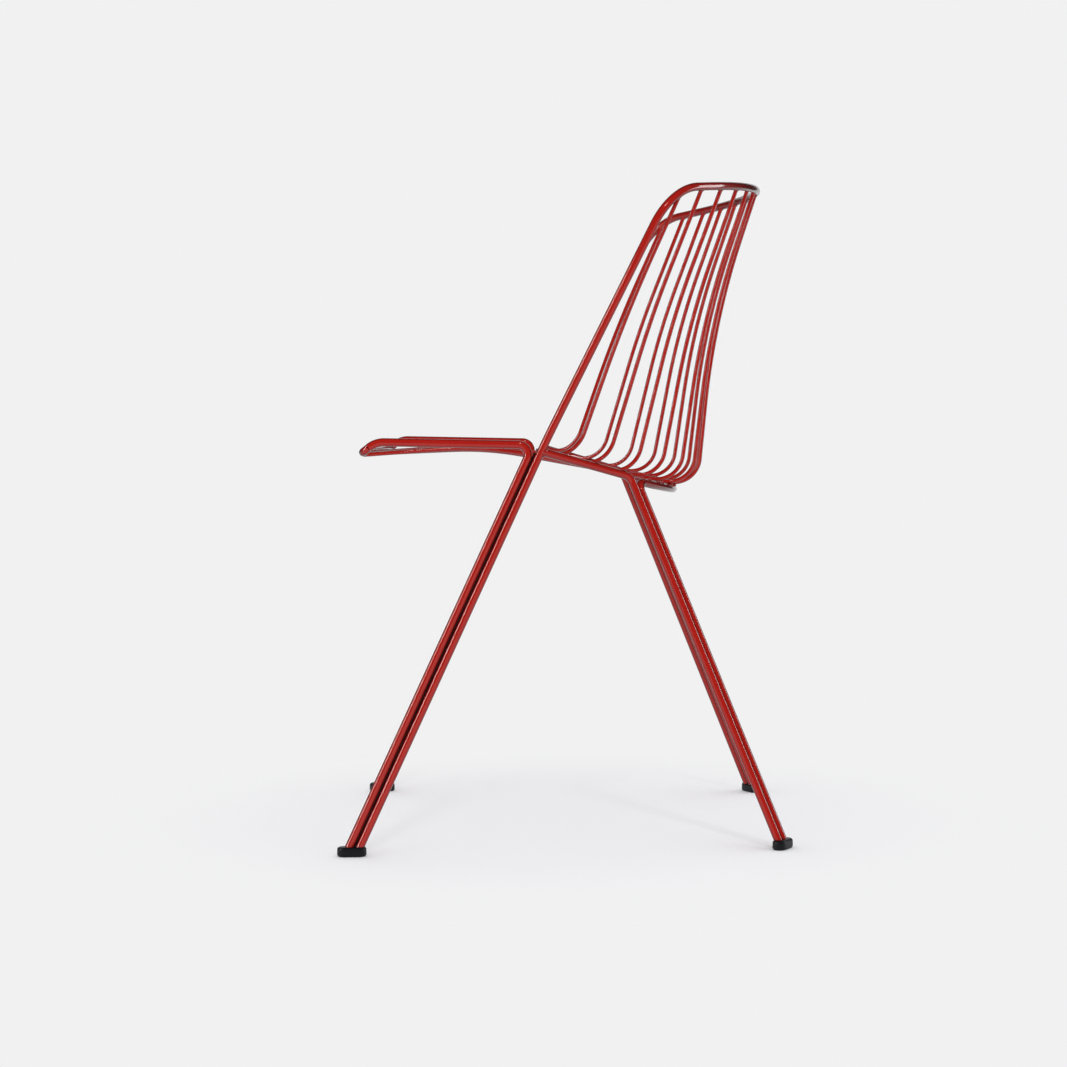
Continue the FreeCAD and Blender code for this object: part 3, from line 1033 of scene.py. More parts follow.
@dataclass
class WireFan:
    """Fourteen wires that hang from the top rail; eight bend forward as the seat.

    Attributes:
        seat: Seat frame whose nose the seat wires end under.
        back: Back frame that the wires hang from.
        rear: Side rails and crossbar that the wires are welded to.
        each_side: Wires on each side of the middle.
        across_seat: Wires on each side that cross the seat.
        rail_pitch: Distance between wires along the top rail.
        middle_drop: From the top rail down to where the back is hollowest.
        middle_inset: How far the back stands forward there.
        middle_radius: Radius in plan of the back there.
        middle_pitch: Distance between wires there.
        low_rise: Height above the crossbar's middle of the lowest place that is fixed.
        low_setback: How far the wires stand behind the crossbar there.
        low_radius: Radius in plan of the back there.
        low_pitch: Distance between wires there.
        curve_radius: Slow bend of the back wires.
        bend_radius: Bend from back to seat or side rail.
        lap_rise: Angle in degrees above level at which the outer wires lie on the side rails.
        tail: Straight end of an outer wire past its bend.
        break_reach: From the leg bend forward to where the seat bends.
        break_drop: Depth of the seat there under the seat sides.
        dish: Rise of the seat there at its sides.
        seat_radius: Bend of the wires there.
        nose_pitch: Distance between wires along the nose.
        nose_drop: Drop of the wire ends under the nose's axis.
        touch: Film of paint between the wires and the crossbar.
    """

    seat: SeatFrame
    back: BackFrame
    rear: RearFrame
    each_side: int = 7
    across_seat: int = 4
    rail_pitch: float = 0.0402
    middle_drop: float = 0.1635
    middle_inset: float = 0.0551
    middle_radius: float = 0.268
    middle_pitch: float = 0.0404
    low_rise: float = 0.057
    low_setback: float = 0.037
    low_radius: float = 0.200
    low_pitch: float = 0.0419
    curve_radius: float = 1.0
    bend_radius: float = 0.033
    lap_rise: float = 20.0
    tail: float = 0.010
    break_reach: float = 0.0584
    break_drop: float = 0.0063
    dish: float = 0.010
    seat_radius: float = 0.400
    nose_pitch: float = 0.055
    nose_drop: float = 0.0035
    touch: float = 0.0001

    @property
    def wires(self) -> range:
        """Numbers of the wires of one side, counted from the middle out."""
        return range(1, self.each_side + 1)

    @property
    def seat_wires(self) -> range:
        """Numbers of those that cross the seat."""
        return self.wires[: self.across_seat]

    @staticmethod
    def steps(number: int) -> float:
        """Return how many pitches a wire stands from the chair's middle."""
        return number - 0.5

    @staticmethod
    def on_arc(radius: float, reach: float, height: float, distance: float) -> np.ndarray:
        """Return a place on a level arc, counted along it from the chair's middle.

        Formula: (r sin a, reach - r (1 - cos a), height) for a = distance / r.

        Args:
            radius: Radius of the arc.
            reach: Y of the arc's middle.
            height: Height of the arc.
            distance: Length of arc from its middle.

        Returns:
            The place.
        """
        angle = distance / radius
        return np.array([
            radius * math.sin(angle), reach - radius * (1.0 - math.cos(angle)), height,
        ])

    @staticmethod
    def crossing(start: np.ndarray, through: np.ndarray, base: np.ndarray,
                 beyond: np.ndarray) -> np.ndarray:
        """Return where two lines cross, seen from the side.

        Formula: the share of the first line is (gap x other) / (along x other), with plane
        cross products of the Y and Z parts.

        Args:
            start: Place on the first line.
            through: Other place on the first line.
            base: Place on the second line.
            beyond: Other place on the second line.

        Returns:
            The place on the first line.
        """
        along, other, gap = through - start, beyond - base, base - start
        share = (gap[1] * other[2] - gap[2] * other[1]) / (along[1] * other[2] - along[2] * other[1])
        return start + along * share

    def hang(self, number: int) -> tuple[np.ndarray, np.ndarray, np.ndarray]:
        """Return top, middle and low places of a back wire.

        Args:
            number: Number of the wire.

        Returns:
            The three places.
        """
        steps = self.steps(number)
        rail, cross = self.back.rail_middle, self.rear.cross_middle
        top = self.back.line.before_middle(steps * self.rail_pitch)
        middle = self.on_arc(
            self.middle_radius, rail[1] - self.middle_inset, rail[2] - self.middle_drop,
            steps * self.middle_pitch,
        )
        low = self.on_arc(
            self.low_radius, cross[1] + self.low_setback, cross[2] + self.low_rise,
            steps * self.low_pitch,
        )
        return top, middle, low

    def nose(self, number: int) -> np.ndarray:
        """Return where a seat wire ends under the nose."""
        return self.seat.line.before_middle(self.steps(number) * self.nose_pitch) - UP * self.nose_drop

    def over_crossbar(self, number: int) -> tuple[np.ndarray, np.ndarray]:
        """Return where a seat wire's axis passes over the crossbar, and its seat bend.

        Formula: the bend lies on the plan line from the crossbar to the nose, and is higher by
        the square of its share of the seat's half width. The axis stands off the crossbar's by
        the two radii and the film, square to the line to the bend.

        Args:
            number: Number of the wire.

        Returns:
            The place over the crossbar, and the corner of the bend.
        """
        under = self.rear.crossbar_at(self.hang(number)[2][0])
        nose = self.nose(number)
        break_y = self.seat.bend[1] - self.break_reach
        share = (under[1] - break_y) / (under[1] - nose[1])
        break_x = under[0] + (nose[0] - under[0]) * share
        rise = self.dish * (break_x / (self.seat.width / 2)) ** 2
        seat_break = np.array([break_x, break_y, self.seat.bend[2] - self.break_drop + rise])
        along = seat_break - under
        stand = Stock.ROD.radius + Stock.WIRE.radius + self.touch
        return under + unit(np.array([0.0, along[2], -along[1]])) * stand, seat_break

    def seat_wire(self, number: int) -> CentreLine:
        """Return the axis of a wire from the top rail over the crossbar to the nose.

        Formula: the wire turns forward where the lines of its seat and its back cross, seen
        from the side.

        Args:
            number: Number of the wire.

        Returns:
            The wire's centre line.
        """
        top, middle, low = self.hang(number)
        over, seat_break = self.over_crossbar(number)
        bend = self.crossing(seat_break, over, low, middle)
        corners = [top, middle, bend, seat_break, self.nose(number)]
        return BENDER.line(corners, [self.curve_radius, self.bend_radius, self.seat_radius])

    def lap(self) -> tuple[np.ndarray, np.ndarray]:
        """Return the start and direction of the line that the outer wires lie on.

        Formula: the side rail's axis, stepped inwards and a little up by the two radii.

        Returns:
            The start, next to the rail's bend, and the unit direction forward.
        """
        way = unit(self.rear.side_front - self.rear.side_bend)
        inwards = unit(np.cross(way, UP))
        above = np.cross(inwards, way)
        step = round_about(inwards, above, np.radians([self.lap_rise]))[0]
        return self.rear.side_bend + step * (Stock.ROD.radius + Stock.WIRE.radius), way

    def side_wire(self, number: int) -> CentreLine:
        """Return the axis of a wire from the top rail to its tail along a side rail.

        Formula: the wire turns forward where the lines of its back and of the rail cross, seen
        from the side, and its end is a tail's length past the turn, on the line along the rail.

        Args:
            number: Number of the wire.

        Returns:
            The wire's centre line.
        """
        top, middle, low = self.hang(number)
        start, way = self.lap()
        bend = self.crossing(middle, low, start, start + way)
        half = math.acos(float(unit(bend - middle) @ way)) / 2
        end = bend + way * (self.bend_radius * math.tan(half) + self.tail)
        end[0] = start[0] + way[0] * (end[1] - start[1]) / way[1]
        return BENDER.line([top, middle, bend, end], [self.curve_radius, self.bend_radius])

    def line(self, number: int) -> CentreLine:
        """Return the axis of a left wire."""
        return self.seat_wire(number) if number in self.seat_wires else self.side_wire(number)

    def build(self) -> list[bpy.types.Object]:
        """Make every wire in place of its CAD node.

        Returns:
            The pieces, left and right by turns from the middle out.
        """
        pieces = []
        for number in self.wires:
            patch = Bar(self.line(number), Stock.WIRE).patch()
            for side in Side:
                node = f"wire_{side.word}_{number}"
                piece = make_piece(f"back_{node}", [on_side(patch, side)])
                pieces.append(stand_for(piece, node))
        return pieces


@dataclass
class Welds:
    """Weld metal where wires and rods meet, painted over with the chair; the welds between the rods of
    a leg pair get painted shade instead.

    Attributes:
        fan: Wires, with the rods that carry them.
        seam_radius: Radius of the weld between the rods of a leg pair.
        front_top: Height where the weld of a front pair ends.
        rear_top: Height where the weld of a rear pair ends.
        wire_leg: Width of the fillets at the wires' ends.
        lap_bead: Half widths of the welds along the outer wires' tails.
        spot: Half widths of the spot welds on the crossbar.
        nose_spot: Half widths of the welds at the nose.
        nose_inset: Distance of those welds' middles from the wires' ends.
        seams: Piece that holds the welds of the leg pairs, which is given the painted crack shade.
    """

    fan: WireFan
    seam_radius: float = 0.0014
    front_top: float = 0.476
    rear_top: float = 0.430
    wire_leg: float = 0.0021
    lap_bead: Triple = (0.0062, 0.0026, 0.0011)
    spot: Triple = (0.0036, 0.0030, 0.0013)
    nose_spot: Triple = (0.0040, 0.0036, 0.0024)
    nose_inset: float = 0.0030
    seams: bpy.types.Object | None = None

    def top_rail(self) -> list[Patch]:
        """Return the fillets under the top rail, on the left.

        Returns:
            One surface for each wire.
        """
        back = self.fan.back.line
        patches = []
        for number in self.fan.wires:
            wire = self.fan.line(number)
            reach = self.fan.steps(number) * self.fan.rail_pitch
            rail_way = unit(back.before_middle(reach, back.tangents))
            fillet = Fillet(
                wire.points[0], wire.tangents[0], rail_way, Stock.WIRE, Stock.ROD, self.wire_leg
            )
            patches.append(fillet.patch())
        return patches

    def side_rail(self) -> list[Patch]:
        """Return the beads along the outer wires' tails and the ring at the rail's front.

        Returns:
            One surface for each outer wire, and the ring's.
        """
        start, way = self.fan.lap()
        towards = unit(self.fan.rear.side_bend - start)
        patches = []
        for number in self.fan.wires[self.fan.across_seat:]:
            end = self.fan.line(number).points[-1]
            contact = end - way * self.fan.tail / 2 + towards * Stock.WIRE.radius
            patches.append(Bead(contact, way, towards, self.lap_bead).patch())
        leg_way = self.fan.back.line.tangents[0]
        ring = Ring(self.fan.rear.side_front, -way, leg_way, Stock.ROD, Stock.ROD)
        return [*patches, ring.patch()]

    def crossbar(self) -> list[Patch]:
        """Return the spot welds under the wires where they cross the bowed bar, left.

        Returns:
            One surface for each seat wire.
        """
        patches = []
        for number in self.fan.seat_wires:
            over, seat_break = self.fan.over_crossbar(number)
            under = self.fan.rear.crossbar_at(over[0])
            gap = unit(over - under)
            contact = under + gap * Stock.ROD.radius
            patches.append(Bead(contact, unit(seat_break - over), gap, self.spot).patch())
        return patches

    def nose(self) -> list[Patch]:
        """Return the welds where the seat wires end under the nose, left.

        Returns:
            One surface for each seat wire.
        """
        patches = []
        for number in self.fan.seat_wires:
            wire = self.fan.line(number)
            way = wire.tangents[-1]
            centre = wire.points[-1] - way * self.nose_inset
            patches.append(Bead(centre, way, UP, self.nose_spot).patch())
        return patches

    def seam(self, foot: np.ndarray, way: np.ndarray, top: float) -> Patch:
        """Return the weld that fills the crack between the two rods of a leg.

        Formula: a thin bar along the line midway between the rods' axes.

        Args:
            foot: Middle of the pair where its rods end.
            way: Direction of the rods.
            top: Height where the weld ends.

        Returns:
            The closed surface.
        """
        line = BENDER.line([foot, foot + way * (top - foot[2]) / way[2]], [])
        return Bar(line, Stock.WIRE, bevel=0.0).patch(self.seam_radius)

    def leg_pairs(self) -> list[Patch]:
        """Return the welds of the left front pair and the left rear pair.

        Returns:
            Their two surfaces.
        """
        rear = self.fan.rear
        glides = rear.legs.glides
        front = self.seam(glides.front_foot, rear.legs.way, self.front_top)
        return [front, self.seam(glides.rear_foot, rear.side_rail.tangents[0], self.rear_top)]

    def build(self) -> list[bpy.types.Object]:
        """Make one piece of weld metal for each run of joints.

        Returns:
            The pieces, of which the first holds the welds of the leg pairs.
        """
        runs = {
            "leg_pair_welds": self.leg_pairs(),
            "top_rail_welds": self.top_rail(),
            "side_rail_welds": self.side_rail(),
            "crossbar_welds": self.crossbar(),
            "nose_welds": self.nose(),
        }
        pieces = []
        for name, patches in runs.items():
            both = [on_side(patch, side) for side in Side for patch in patches]
            pieces.append(add_to_chair(make_piece(name, both)))
        self.seams = pieces[0]
        return pieces


class Nodes:
    """Adds and joins the nodes of one material or world."""

    def __init__(self, owner: bpy.types.Material | bpy.types.World) -> None:
        """Start an empty node tree.

        Args:
            owner: Material or world that the nodes make up.
        """
        owner.use_nodes = True
        self.tree = owner.node_tree
        self.tree.nodes.clear()
        self.output = "OutputWorld" if isinstance(owner, bpy.types.World) else "OutputMaterial"

    def add(self, kind: str, inputs: dict[str | int, object] | None = None,
            **settings: object) -> bpy.types.Node:
        """Add a node.

        Args:
            kind: The node's type after the word ShaderNode.
            inputs: For each input socket its value, or the output socket that feeds it.
            settings: Properties of the node.

        Returns:
            The new node.
        """
        node = self.tree.nodes.new(f"ShaderNode{kind}")
        for name, setting in settings.items():
            setattr(node, name, setting)
        for socket, value in (inputs or {}).items():
            if isinstance(value, bpy.types.NodeSocket):
                self.tree.links.new(value, node.inputs[socket])
            else:
                node.inputs[socket].default_value = value
        return node

    def place(self) -> bpy.types.NodeSocket:
        """Return the place on the object."""
        return self.add("TexCoord").outputs["Object"]

    def noise(self, scale: float, detail: float = 2.0) -> bpy.types.NodeSocket:
        """Return a noise over the object."""
        inputs = {"Vector": self.place(), "Scale": scale, "Detail": detail}
        return self.add("TexNoise", inputs).outputs["Fac"]

    def blend(self, share: bpy.types.NodeSocket, first: object, second: object) -> bpy.types.NodeSocket:
        """Return a colour that goes from the first to the second with the share."""
        return self.add("Mix", {0: share, 6: first, 7: second}, data_type="RGBA").outputs[2]

    def stretched(self, value: bpy.types.NodeSocket, span: tuple[float, float],
                  result: tuple[float, float] = (0.0, 1.0), **settings: str) -> bpy.types.NodeSocket:
        """Return a value of which one span is stretched onto another.

        Args:
            value: Value to stretch.
            span: Values that the result starts and ends at.
            result: What the result is there.
            settings: Properties of the node.

        Returns:
            The stretched value, kept within the result's ends.
        """
        names = ("From Min", "From Max", "To Min", "To Max")
        inputs = {"Value": value, **dict(zip(names, span + result))}
        return self.add("MapRange", inputs, **settings).outputs["Result"]

    def relief(self, height: bpy.types.NodeSocket, depth: float,
               strength: float = 1.0) -> bpy.types.NodeSocket:
        """Return the normals of a surface with the given relief."""
        inputs = {"Height": height, "Distance": depth, "Strength": strength}
        return self.add("Bump", inputs).outputs["Normal"]

    def seen(self) -> bpy.types.NodeSocket:
        """Return one for rays from the camera, off gloss or through glass, and else zero.

        Returns:
            The socket that holds it.
        """
        rays = self.add("LightPath")
        value = rays.outputs["Is Camera Ray"]
        for name in ("Is Glossy Ray", "Is Transmission Ray"):
            value = self.combined("MAXIMUM", value, rays.outputs[name])
        return value

    def combined(self, operation: str, first: bpy.types.NodeSocket,
                 second: bpy.types.NodeSocket) -> bpy.types.NodeSocket:
        """Return what an operation makes of two values."""
        return self.add("Math", {0: first, 1: second}, operation=operation).outputs[0]

    def show(self, surface: bpy.types.NodeSocket) -> None:
        """Join a surface to the material's or the world's output."""
        self.add(self.output, {"Surface": surface})

    def show_mixed(self, share: bpy.types.NodeSocket, first: bpy.types.Node,
                   second: bpy.types.Node) -> None:
        """Show a surface that goes from the first to the second with the share."""
        mix = self.add("MixShader", {0: share, 1: first.outputs[0], 2: second.outputs[0]})
        self.show(mix.outputs[0])


@dataclass(frozen=True)
class GlossPaint:
    """Wet-looking red enamel over steel bar, with painted shade that darkens it towards the glancing
    edges of the bars.

    Attributes:
        name: Name of the material.
        light: Colour where the coat is thick.
        deep: Colour where it is thin.
        edge: Colour of the painted shade where the eye grazes the skin, a dark rim that stands in for a
            dark reflection.
        edge_from: Glancing share where the painted shade starts and where it is full.
        cloud_span: Values of the slow noise that give the least and greatest roughness.
        roughness: Least and greatest roughness.
        gloss: Specular level of the pigment under the clear skin.
        coat: Weight of the clear skin.
        coat_roughness: Roughness of the clear skin.
        cloud_scale: Scale of the colour's slow change.
        cloud_detail: Octaves of the colour's slow change.
        peel_scale: Scale of the orange peel.
        peel_depth: Depth of the orange peel.
    """

    name: str = "red_paint_gloss"
    light: Colour = (0.44, 0.012, 0.006, 1.0)
    deep: Colour = (0.37, 0.009, 0.005, 1.0)
    edge: Colour = (0.07, 0.002, 0.002, 1.0)
    edge_from: tuple[float, float] = (0.12, 0.72)
    cloud_span: tuple[float, float] = (0.3, 0.7)
    roughness: tuple[float, float] = (0.22, 0.30)
    gloss: float = 0.04
    coat: float = 0.75
    coat_roughness: float = 0.05
    cloud_scale: float = 24.0
    cloud_detail: float = 3.0
    peel_scale: float = 420.0
    peel_depth: float = 0.000004

    def material(self) -> bpy.types.Material:
        """Return the finish as a node material on object coordinates.

        Returns:
            The new material.
        """
        material = bpy.data.materials.new(self.name)
        nodes = Nodes(material)
        clouds = nodes.noise(self.cloud_scale, self.cloud_detail)
        # Painted shade: the colour darkens towards the glancing edges of every bar, standing in for a
        # dark reflection.
        grazing_shade_share = nodes.stretched(nodes.add("LayerWeight").outputs["Facing"], self.edge_from)
        peel = nodes.relief(nodes.noise(self.peel_scale), self.peel_depth)
        shader = nodes.add("BsdfPrincipled", {
            "Base Color": nodes.blend(grazing_shade_share, nodes.blend(clouds, self.deep, self.light), self.edge),
            "Roughness": nodes.stretched(clouds, self.cloud_span, self.roughness),
            "Specular IOR Level": self.gloss,
            "Coat Weight": self.coat,
            "Coat Roughness": self.coat_roughness,
            "Normal": peel,
            "Coat Normal": peel,
        })
        nodes.show(shader.outputs["BSDF"])
        return material


@dataclass(frozen=True)
class SeamShade:
    """Painted shade: a near-black finish for the crack between the two rods of a leg, where shade
    falls.

    Attributes:
        name: Name of the material.
        soot: Darkest colour of the painted shade.
        mist: Colour of the painted shade where the noise makes it a little lighter.
        roughness: Roughness of both.
        gloss: Specular level of both.
        drift_scale: Scale of the noise that mixes the two colours of the painted shade.
    """

    name: str = "seam_shade"
    soot: Colour = (0.006, 0.003, 0.003, 1.0)
    mist: Colour = (0.030, 0.005, 0.005, 1.0)
    roughness: float = 0.8
    gloss: float = 0.1
    drift_scale: float = 90.0

    def material(self) -> bpy.types.Material:
        """Return the finish as a node material on object coordinates.

        Returns:
            The new material.
        """
        material = bpy.data.materials.new(self.name)
        nodes = Nodes(material)
        # Painted shade: near-black colour for the deep crack between a leg's two rods, two tones mixed
        # by noise.
        shader = nodes.add("BsdfPrincipled", {
            "Base Color": nodes.blend(nodes.noise(self.drift_scale), self.soot, self.mist),
            "Roughness": self.roughness,
            "Specular IOR Level": self.gloss,
        })
        nodes.show(shader.outputs["BSDF"])
        return material


@dataclass(frozen=True)
class GlidePlastic:
    """Black moulded plastic with a fine spark-eroded grain.

    Attributes:
        name: Name of the material.
        dark: Colour in the grain.
        pale: Colour on the rubbed tops of the grain.
        roughness: Roughness of the moulding.
        gloss: Specular level of the moulding.
        grain_scale: Scale of the grain.
        grain_detail: Octaves of the grain.
        grain_depth: Depth of the grain.
        grain_strength: Share of that depth that shows.
    """

    name: str = "black_glide_plastic"
    dark: Colour = (0.003, 0.003, 0.005, 1.0)
    pale: Colour = (0.008, 0.008, 0.011, 1.0)
    roughness: float = 0.42
    gloss: float = 0.2
    grain_scale: float = 1600.0
    grain_detail: float = 3.0
    grain_depth: float = 0.00008
    grain_strength: float = 0.6

    def material(self) -> bpy.types.Material:
        """Return the finish as a node material on object coordinates.

        Returns:
            The new material.
        """
        material = bpy.data.materials.new(self.name)
        nodes = Nodes(material)
        grain = nodes.noise(self.grain_scale, self.grain_detail)
        shader = nodes.add("BsdfPrincipled", {
            "Base Color": nodes.blend(grain, self.dark, self.pale),
            "Roughness": self.roughness,
            "Specular IOR Level": self.gloss,
            "Normal": nodes.relief(grain, self.grain_depth, self.grain_strength),
        })
        nodes.show(shader.outputs["BSDF"])
        return material


@dataclass(frozen=True)
class StudioFloor:
    """Pale floor that takes the chair's shadow and melts into the backdrop further out.

    Attributes:
        name: Name of the material.
        colour: Colour of the lit floor.
        backdrop: Colour of the backdrop.
        melt: Distances from the chair's middle where the floor starts to melt away and
            where nothing but the backdrop is left.
    """

    name: str = "studio_floor"
    colour: Colour = (0.86, 0.865, 0.885, 1.0)
    backdrop: Colour = (0.879, 0.879, 0.879, 1.0)
    melt: tuple[float, float] = (0.30, 0.66)

    def material(self) -> bpy.types.Material:
        """Return the floor's node material.

        Returns:
            The new material.
        """
        material = bpy.data.materials.new(self.name)
        nodes = Nodes(material)
        distance = nodes.add("VectorMath", {0: nodes.place()}, operation="LENGTH").outputs["Value"]
        melted = nodes.stretched(distance, self.melt, interpolation_type="SMOOTHSTEP")
        lit = nodes.add("BsdfDiffuse", {"Color": self.colour})
        glow = nodes.add("Emission", {"Color": self.backdrop})
        nodes.show_mixed(nodes.combined("MULTIPLY", melted, nodes.seen()), lit, glow)
        return material


def aimed(place: Sequence[float], forward: np.ndarray, up: np.ndarray) -> Matrix:
    """Return the matrix of a lamp or camera that looks forward.

    Args:
        place: Where it stands.
        forward: Direction that it looks in.
        up: Direction that its top leans towards.

    Returns:
        Its matrix, whose columns are right, up, back and the place.
    """
    forward = unit(np.asarray(forward, float))
    right = unit(np.cross(forward, up))
    matrix = np.eye(4)
    matrix[:3] = np.stack([right, np.cross(right, forward), -forward, place], axis=1)
    return Matrix(matrix.tolist())


@dataclass(frozen=True)
class SoftBox:
    """Soft rectangular studio lamp.

    Attributes:
        name: Name of the lamp.
        place: Middle of its face.
        target: Place that it faces.
        size: Width and height of its face.
        level: Brightness of its face, where one is white.
        sheen_only: Whether only gloss shows it, so that it throws no shadow.
    """

    name: str
    place: Triple
    target: Triple
    size: tuple[float, float]
    level: float
    sheen_only: bool = False

    def build(self) -> bpy.types.Object:
        """Add the lamp to the scene.

        Returns:
            The lamp.
        """
        data = bpy.data.lights.new(self.name, "AREA")
        data.shape = "RECTANGLE"
        data.size, data.size_y = self.size
        data.energy = math.pi * self.level * self.size[0] * self.size[1]
        lamp = bpy.data.objects.new(self.name, data)
        lamp.visible_diffuse = not self.sheen_only
        lamp.matrix_world = aimed(self.place, np.subtract(self.target, self.place), UP)
        bpy.context.scene.collection.objects.link(lamp)
        return lamp


@dataclass(frozen=True)
class DarkWall:
    """Dark studio wall round the set, open behind the chair, which only reflections see.

    Attributes:
        radius: Radius of the wall.
        foot: Height of its lower edge.
        height: Height of its top.
        thickness: Thickness of the wall.
        opening: Angle in degrees from straight behind the chair to each end of the wall.
        colour: Colour that its face gives off.
        columns: Places round the wall and round the ceiling.
    """

    radius: float = 3.6
    foot: float = 0.12
    height: float = 3.4
    thickness: float = 0.02
    opening: float = 28.0
    colour: Colour = (0.030, 0.030, 0.030, 1.0)
    columns: int = 96

    def material(self) -> bpy.types.Material:
        """Return the wall's even dark finish.

        Returns:
            The new material.
        """
        material = bpy.data.materials.new("dark_wall")
        nodes = Nodes(material)
        nodes.show(nodes.add("Emission", {"Color": self.colour}).outputs[0])
        return material

    def patches(self) -> list[Patch]:
        """Return the wall and its ceiling.

        Formula: the wall is a thin upright rectangle carried round an arc about the
        vertical, and the ceiling is a disc.

        Returns:
            The wall's closed surface and the ceiling's disc.
        """
        opening = math.radians(self.opening)
        angles = np.linspace(math.pi + opening, 3 * math.pi - opening, self.columns)
        ways = round_about(ACROSS, REARWARD, angles)
        inner, outer = self.radius, self.radius + self.thickness
        outs = np.array([inner, inner, outer, outer])
        heights = np.array([self.foot, self.height, self.height, self.foot])
        grid = ways[:, None] * outs[:, None] + UP * heights[:, None]
        wall = Patch(grid, start_pole=grid[0].mean(axis=0), end_pole=grid[-1].mean(axis=0))
        disc = round_about(ACROSS, REARWARD, full_turn(self.columns)) * inner
        return [wall, Patch((disc + UP * self.height)[None], start_pole=UP * self.height)]

    def build(self) -> bpy.types.Object:
        """Stand the wall round the set.

        Returns:
            The wall with its ceiling, as one piece.
        """
        wall = make_piece("dark_wall", self.patches())
        paint([wall], self.material())
        for rays in ("camera", "diffuse", "transmission", "volume_scatter", "shadow"):
            setattr(wall, f"visible_{rays}", False)
        return wall


@dataclass
class Studio:
    """Pale floor, even light all round, a lamp in front and two that only gloss shows.

    Attributes:
        floor: Finish of the floor.
        floor_rings: Radii of the floor's rings of places, from its edge inwards.
        floor_columns: Places round the floor.
        ambient: Level of the light that comes from everywhere.
        lamps: Soft lamps.
    """

    floor: StudioFloor = StudioFloor()
    floor_rings: Triple = (9.0, 3.0, 1.0)
    floor_columns: int = 96
    ambient: float = 0.97
    lamps: tuple[SoftBox, ...] = (
        SoftBox(
            name="rear_side_light", place=(-0.3, 2.1, 0.85), target=(0.0, 0.0, 0.5),
            size=(0.5, 1.3), level=9.0, sheen_only=True,
        ),
        SoftBox(
            name="front_side_light", place=(1.1, -2.1, 1.1), target=(0.0, 0.0, 0.4),
            size=(0.4, 1.5), level=24.0, sheen_only=True,
        ),
        SoftBox(
            name="front_light", place=(2.0, 0.4, 2.3), target=(0.0, 0.1, 0.7),
            size=(0.22, 0.3), level=34.0,
        ),
    )

    def lay_floor(self) -> bpy.types.Object:
        """Lay the floor, a disc just under the foot glides.

        Formula: rings of places at falling radii round the origin, closed by a pole.

        Returns:
            The floor.
        """
        ring = round_about(ACROSS, REARWARD, full_turn(self.floor_columns))
        grid = np.array(self.floor_rings)[:, None, None] * ring
        floor = make_piece("studio_floor", [Patch(grid, end_pole=np.zeros(3))])
        paint([floor], self.floor.material())
        return floor

    def hang_backdrop(self) -> None:
        """Set the world: the backdrop's colour where it is seen, the ambient level elsewhere."""
        world = bpy.data.worlds.new("studio_backdrop")
        nodes = Nodes(world)
        light = nodes.add("Background", {"Color": (1.0, 1.0, 1.0, 1.0), "Strength": self.ambient})
        shown = nodes.add("Background", {"Color": self.floor.backdrop})
        nodes.show_mixed(nodes.seen(), light, shown)
        bpy.context.scene.world = world

    def build(self) -> list[bpy.types.Object]:
        """Hang the backdrop, set the lamps, lay the floor and stand the wall.

        Returns:
            The floor, the wall and the lamps.
        """
        self.hang_backdrop()
        lamps = [lamp.build() for lamp in self.lamps]
        return [self.lay_floor(), DarkWall().build(), *lamps]


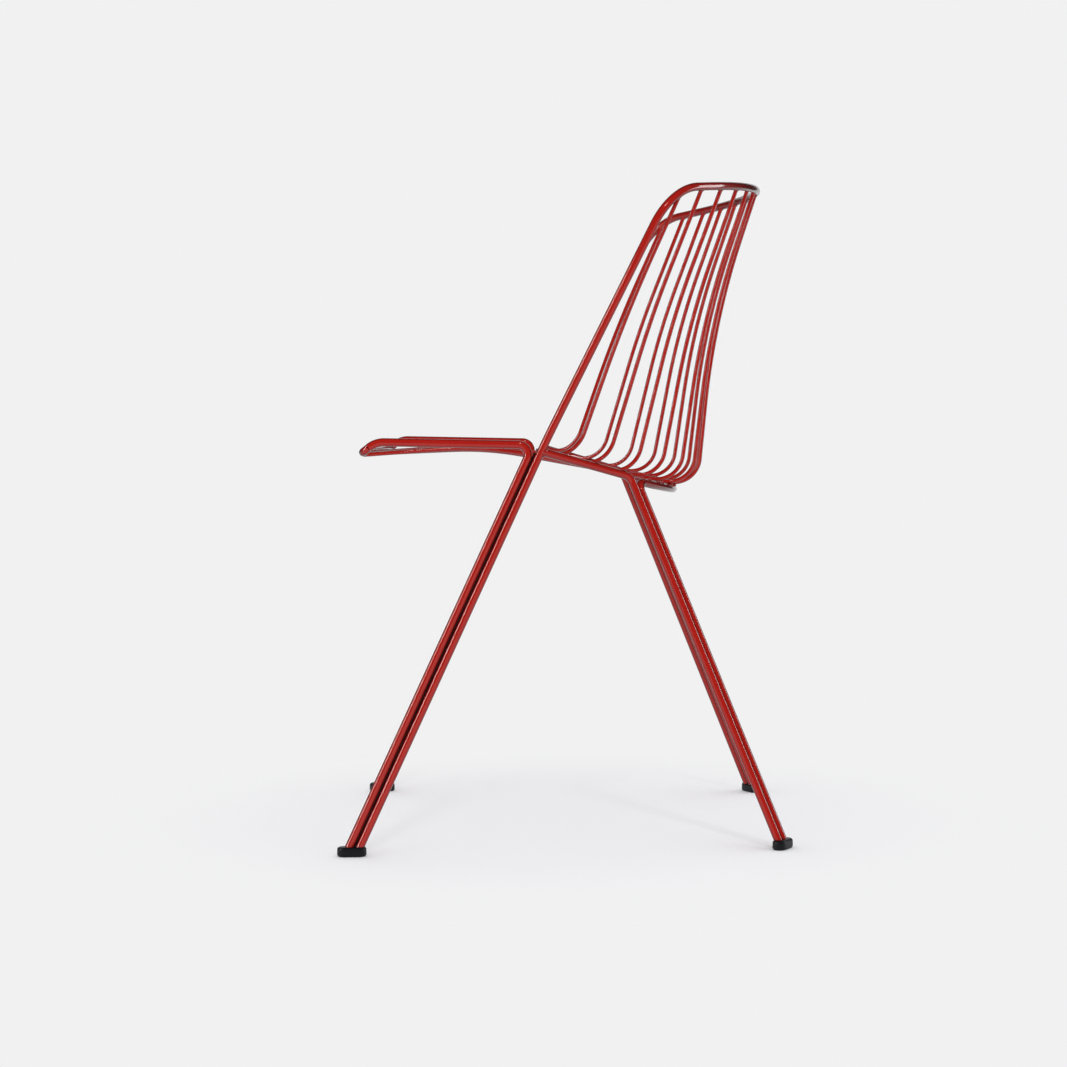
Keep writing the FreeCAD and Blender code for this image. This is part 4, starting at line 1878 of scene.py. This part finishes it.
@dataclass(frozen=True)
class PhotoCamera:
    """Camera at the photograph's place, whose middle looks a little under the horizon.

    Attributes:
        eye: Place of the camera.
        picture: Width and height of the photograph in pixels.
        focal: Focal length in pixels.
        level_point: Pixel that the level -X direction falls on.
        roll: Turn of the picture in degrees.
        rise: Share of the picture by which the lens's axis stands over the picture's middle.
        sensor: Width of the sensor in millimetres.
    """

    eye: Triple = (3.090, -0.0128, 0.510)
    picture: float = 1067.0
    focal: float = 2404.0
    level_point: tuple[float, float] = (552.0, 424.0)
    roll: float = 0.5
    rise: float = 0.05
    sensor: float = 36.0

    def build(self) -> bpy.types.Object:
        """Add the camera.

        Formula: forward = -X focal + right (axis column - level column) - up (axis row - level
        row), each in pixels.

        Returns:
            The camera.
        """
        turn = math.radians(self.roll)
        right = np.array([0.0, math.cos(turn), -math.sin(turn)])
        up = np.array([0.0, math.sin(turn), math.cos(turn)])
        across = self.picture / 2 - self.level_point[0]
        down = (0.5 - self.rise) * self.picture - self.level_point[1]
        forward = -ACROSS * self.focal + right * across - up * down
        data = bpy.data.cameras.new("photo_camera")
        data.sensor_width = self.sensor
        data.lens = self.sensor * self.focal / self.picture
        data.shift_y = -self.rise
        camera = bpy.data.objects.new("photo_camera", data)
        camera.matrix_world = aimed(self.eye, forward, up)
        bpy.context.scene.collection.objects.link(camera)
        bpy.context.scene.camera = camera
        return camera


def report(piece: bpy.types.Object) -> None:
    """Log a piece's box, and how far that is from the box of the CAD node it replaces.

    Args:
        piece: Piece of the dressed chair.
    """
    places = np.empty((len(piece.data.vertices), 3), np.float32)
    piece.data.vertices.foreach_get("co", places.ravel())
    box = 1000 * np.stack([places.min(axis=0), places.max(axis=0)]).astype(float)
    log.info("%s, box %s mm", piece.name, np.round(box, 1).tolist())
    for node in piece.get("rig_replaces", []):
        off = np.round(box - 1000 * np.array(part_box(node)), 2)
        log.info("%s stands for %s, box off by %s mm", piece.name, node, off.tolist())


def main() -> None:
    """Build the chair piece by piece, then the studio and the camera."""
    logging.basicConfig(level=logging.INFO, format="%(name)s: %(message)s")
    bpy.context.scene.view_settings.view_transform = "Standard"
    glides = FootGlides()
    legs = FrontLegs(glides)
    seat = SeatFrame(legs)
    back = BackFrame(legs, seat)
    rear = RearFrame(legs, seat)
    fan = WireFan(seat, back, rear)
    welds = Welds(fan)
    enamel, plastic = GlossPaint().material(), GlidePlastic().material()
    for part, finish in (
        (seat, enamel), (back, enamel), (rear, enamel), (fan, enamel), (welds, enamel),
        (glides, plastic),
    ):
        pieces = part.build()
        paint(pieces, finish)
        for piece in pieces:
            report(piece)
    # The welds between each leg's two rods get painted shade, near black, for the crack between the
    # rods.
    paint([welds.seams], SeamShade().material())
    Studio().build()
    PhotoCamera().build()


if __name__ == "__main__":
    main()
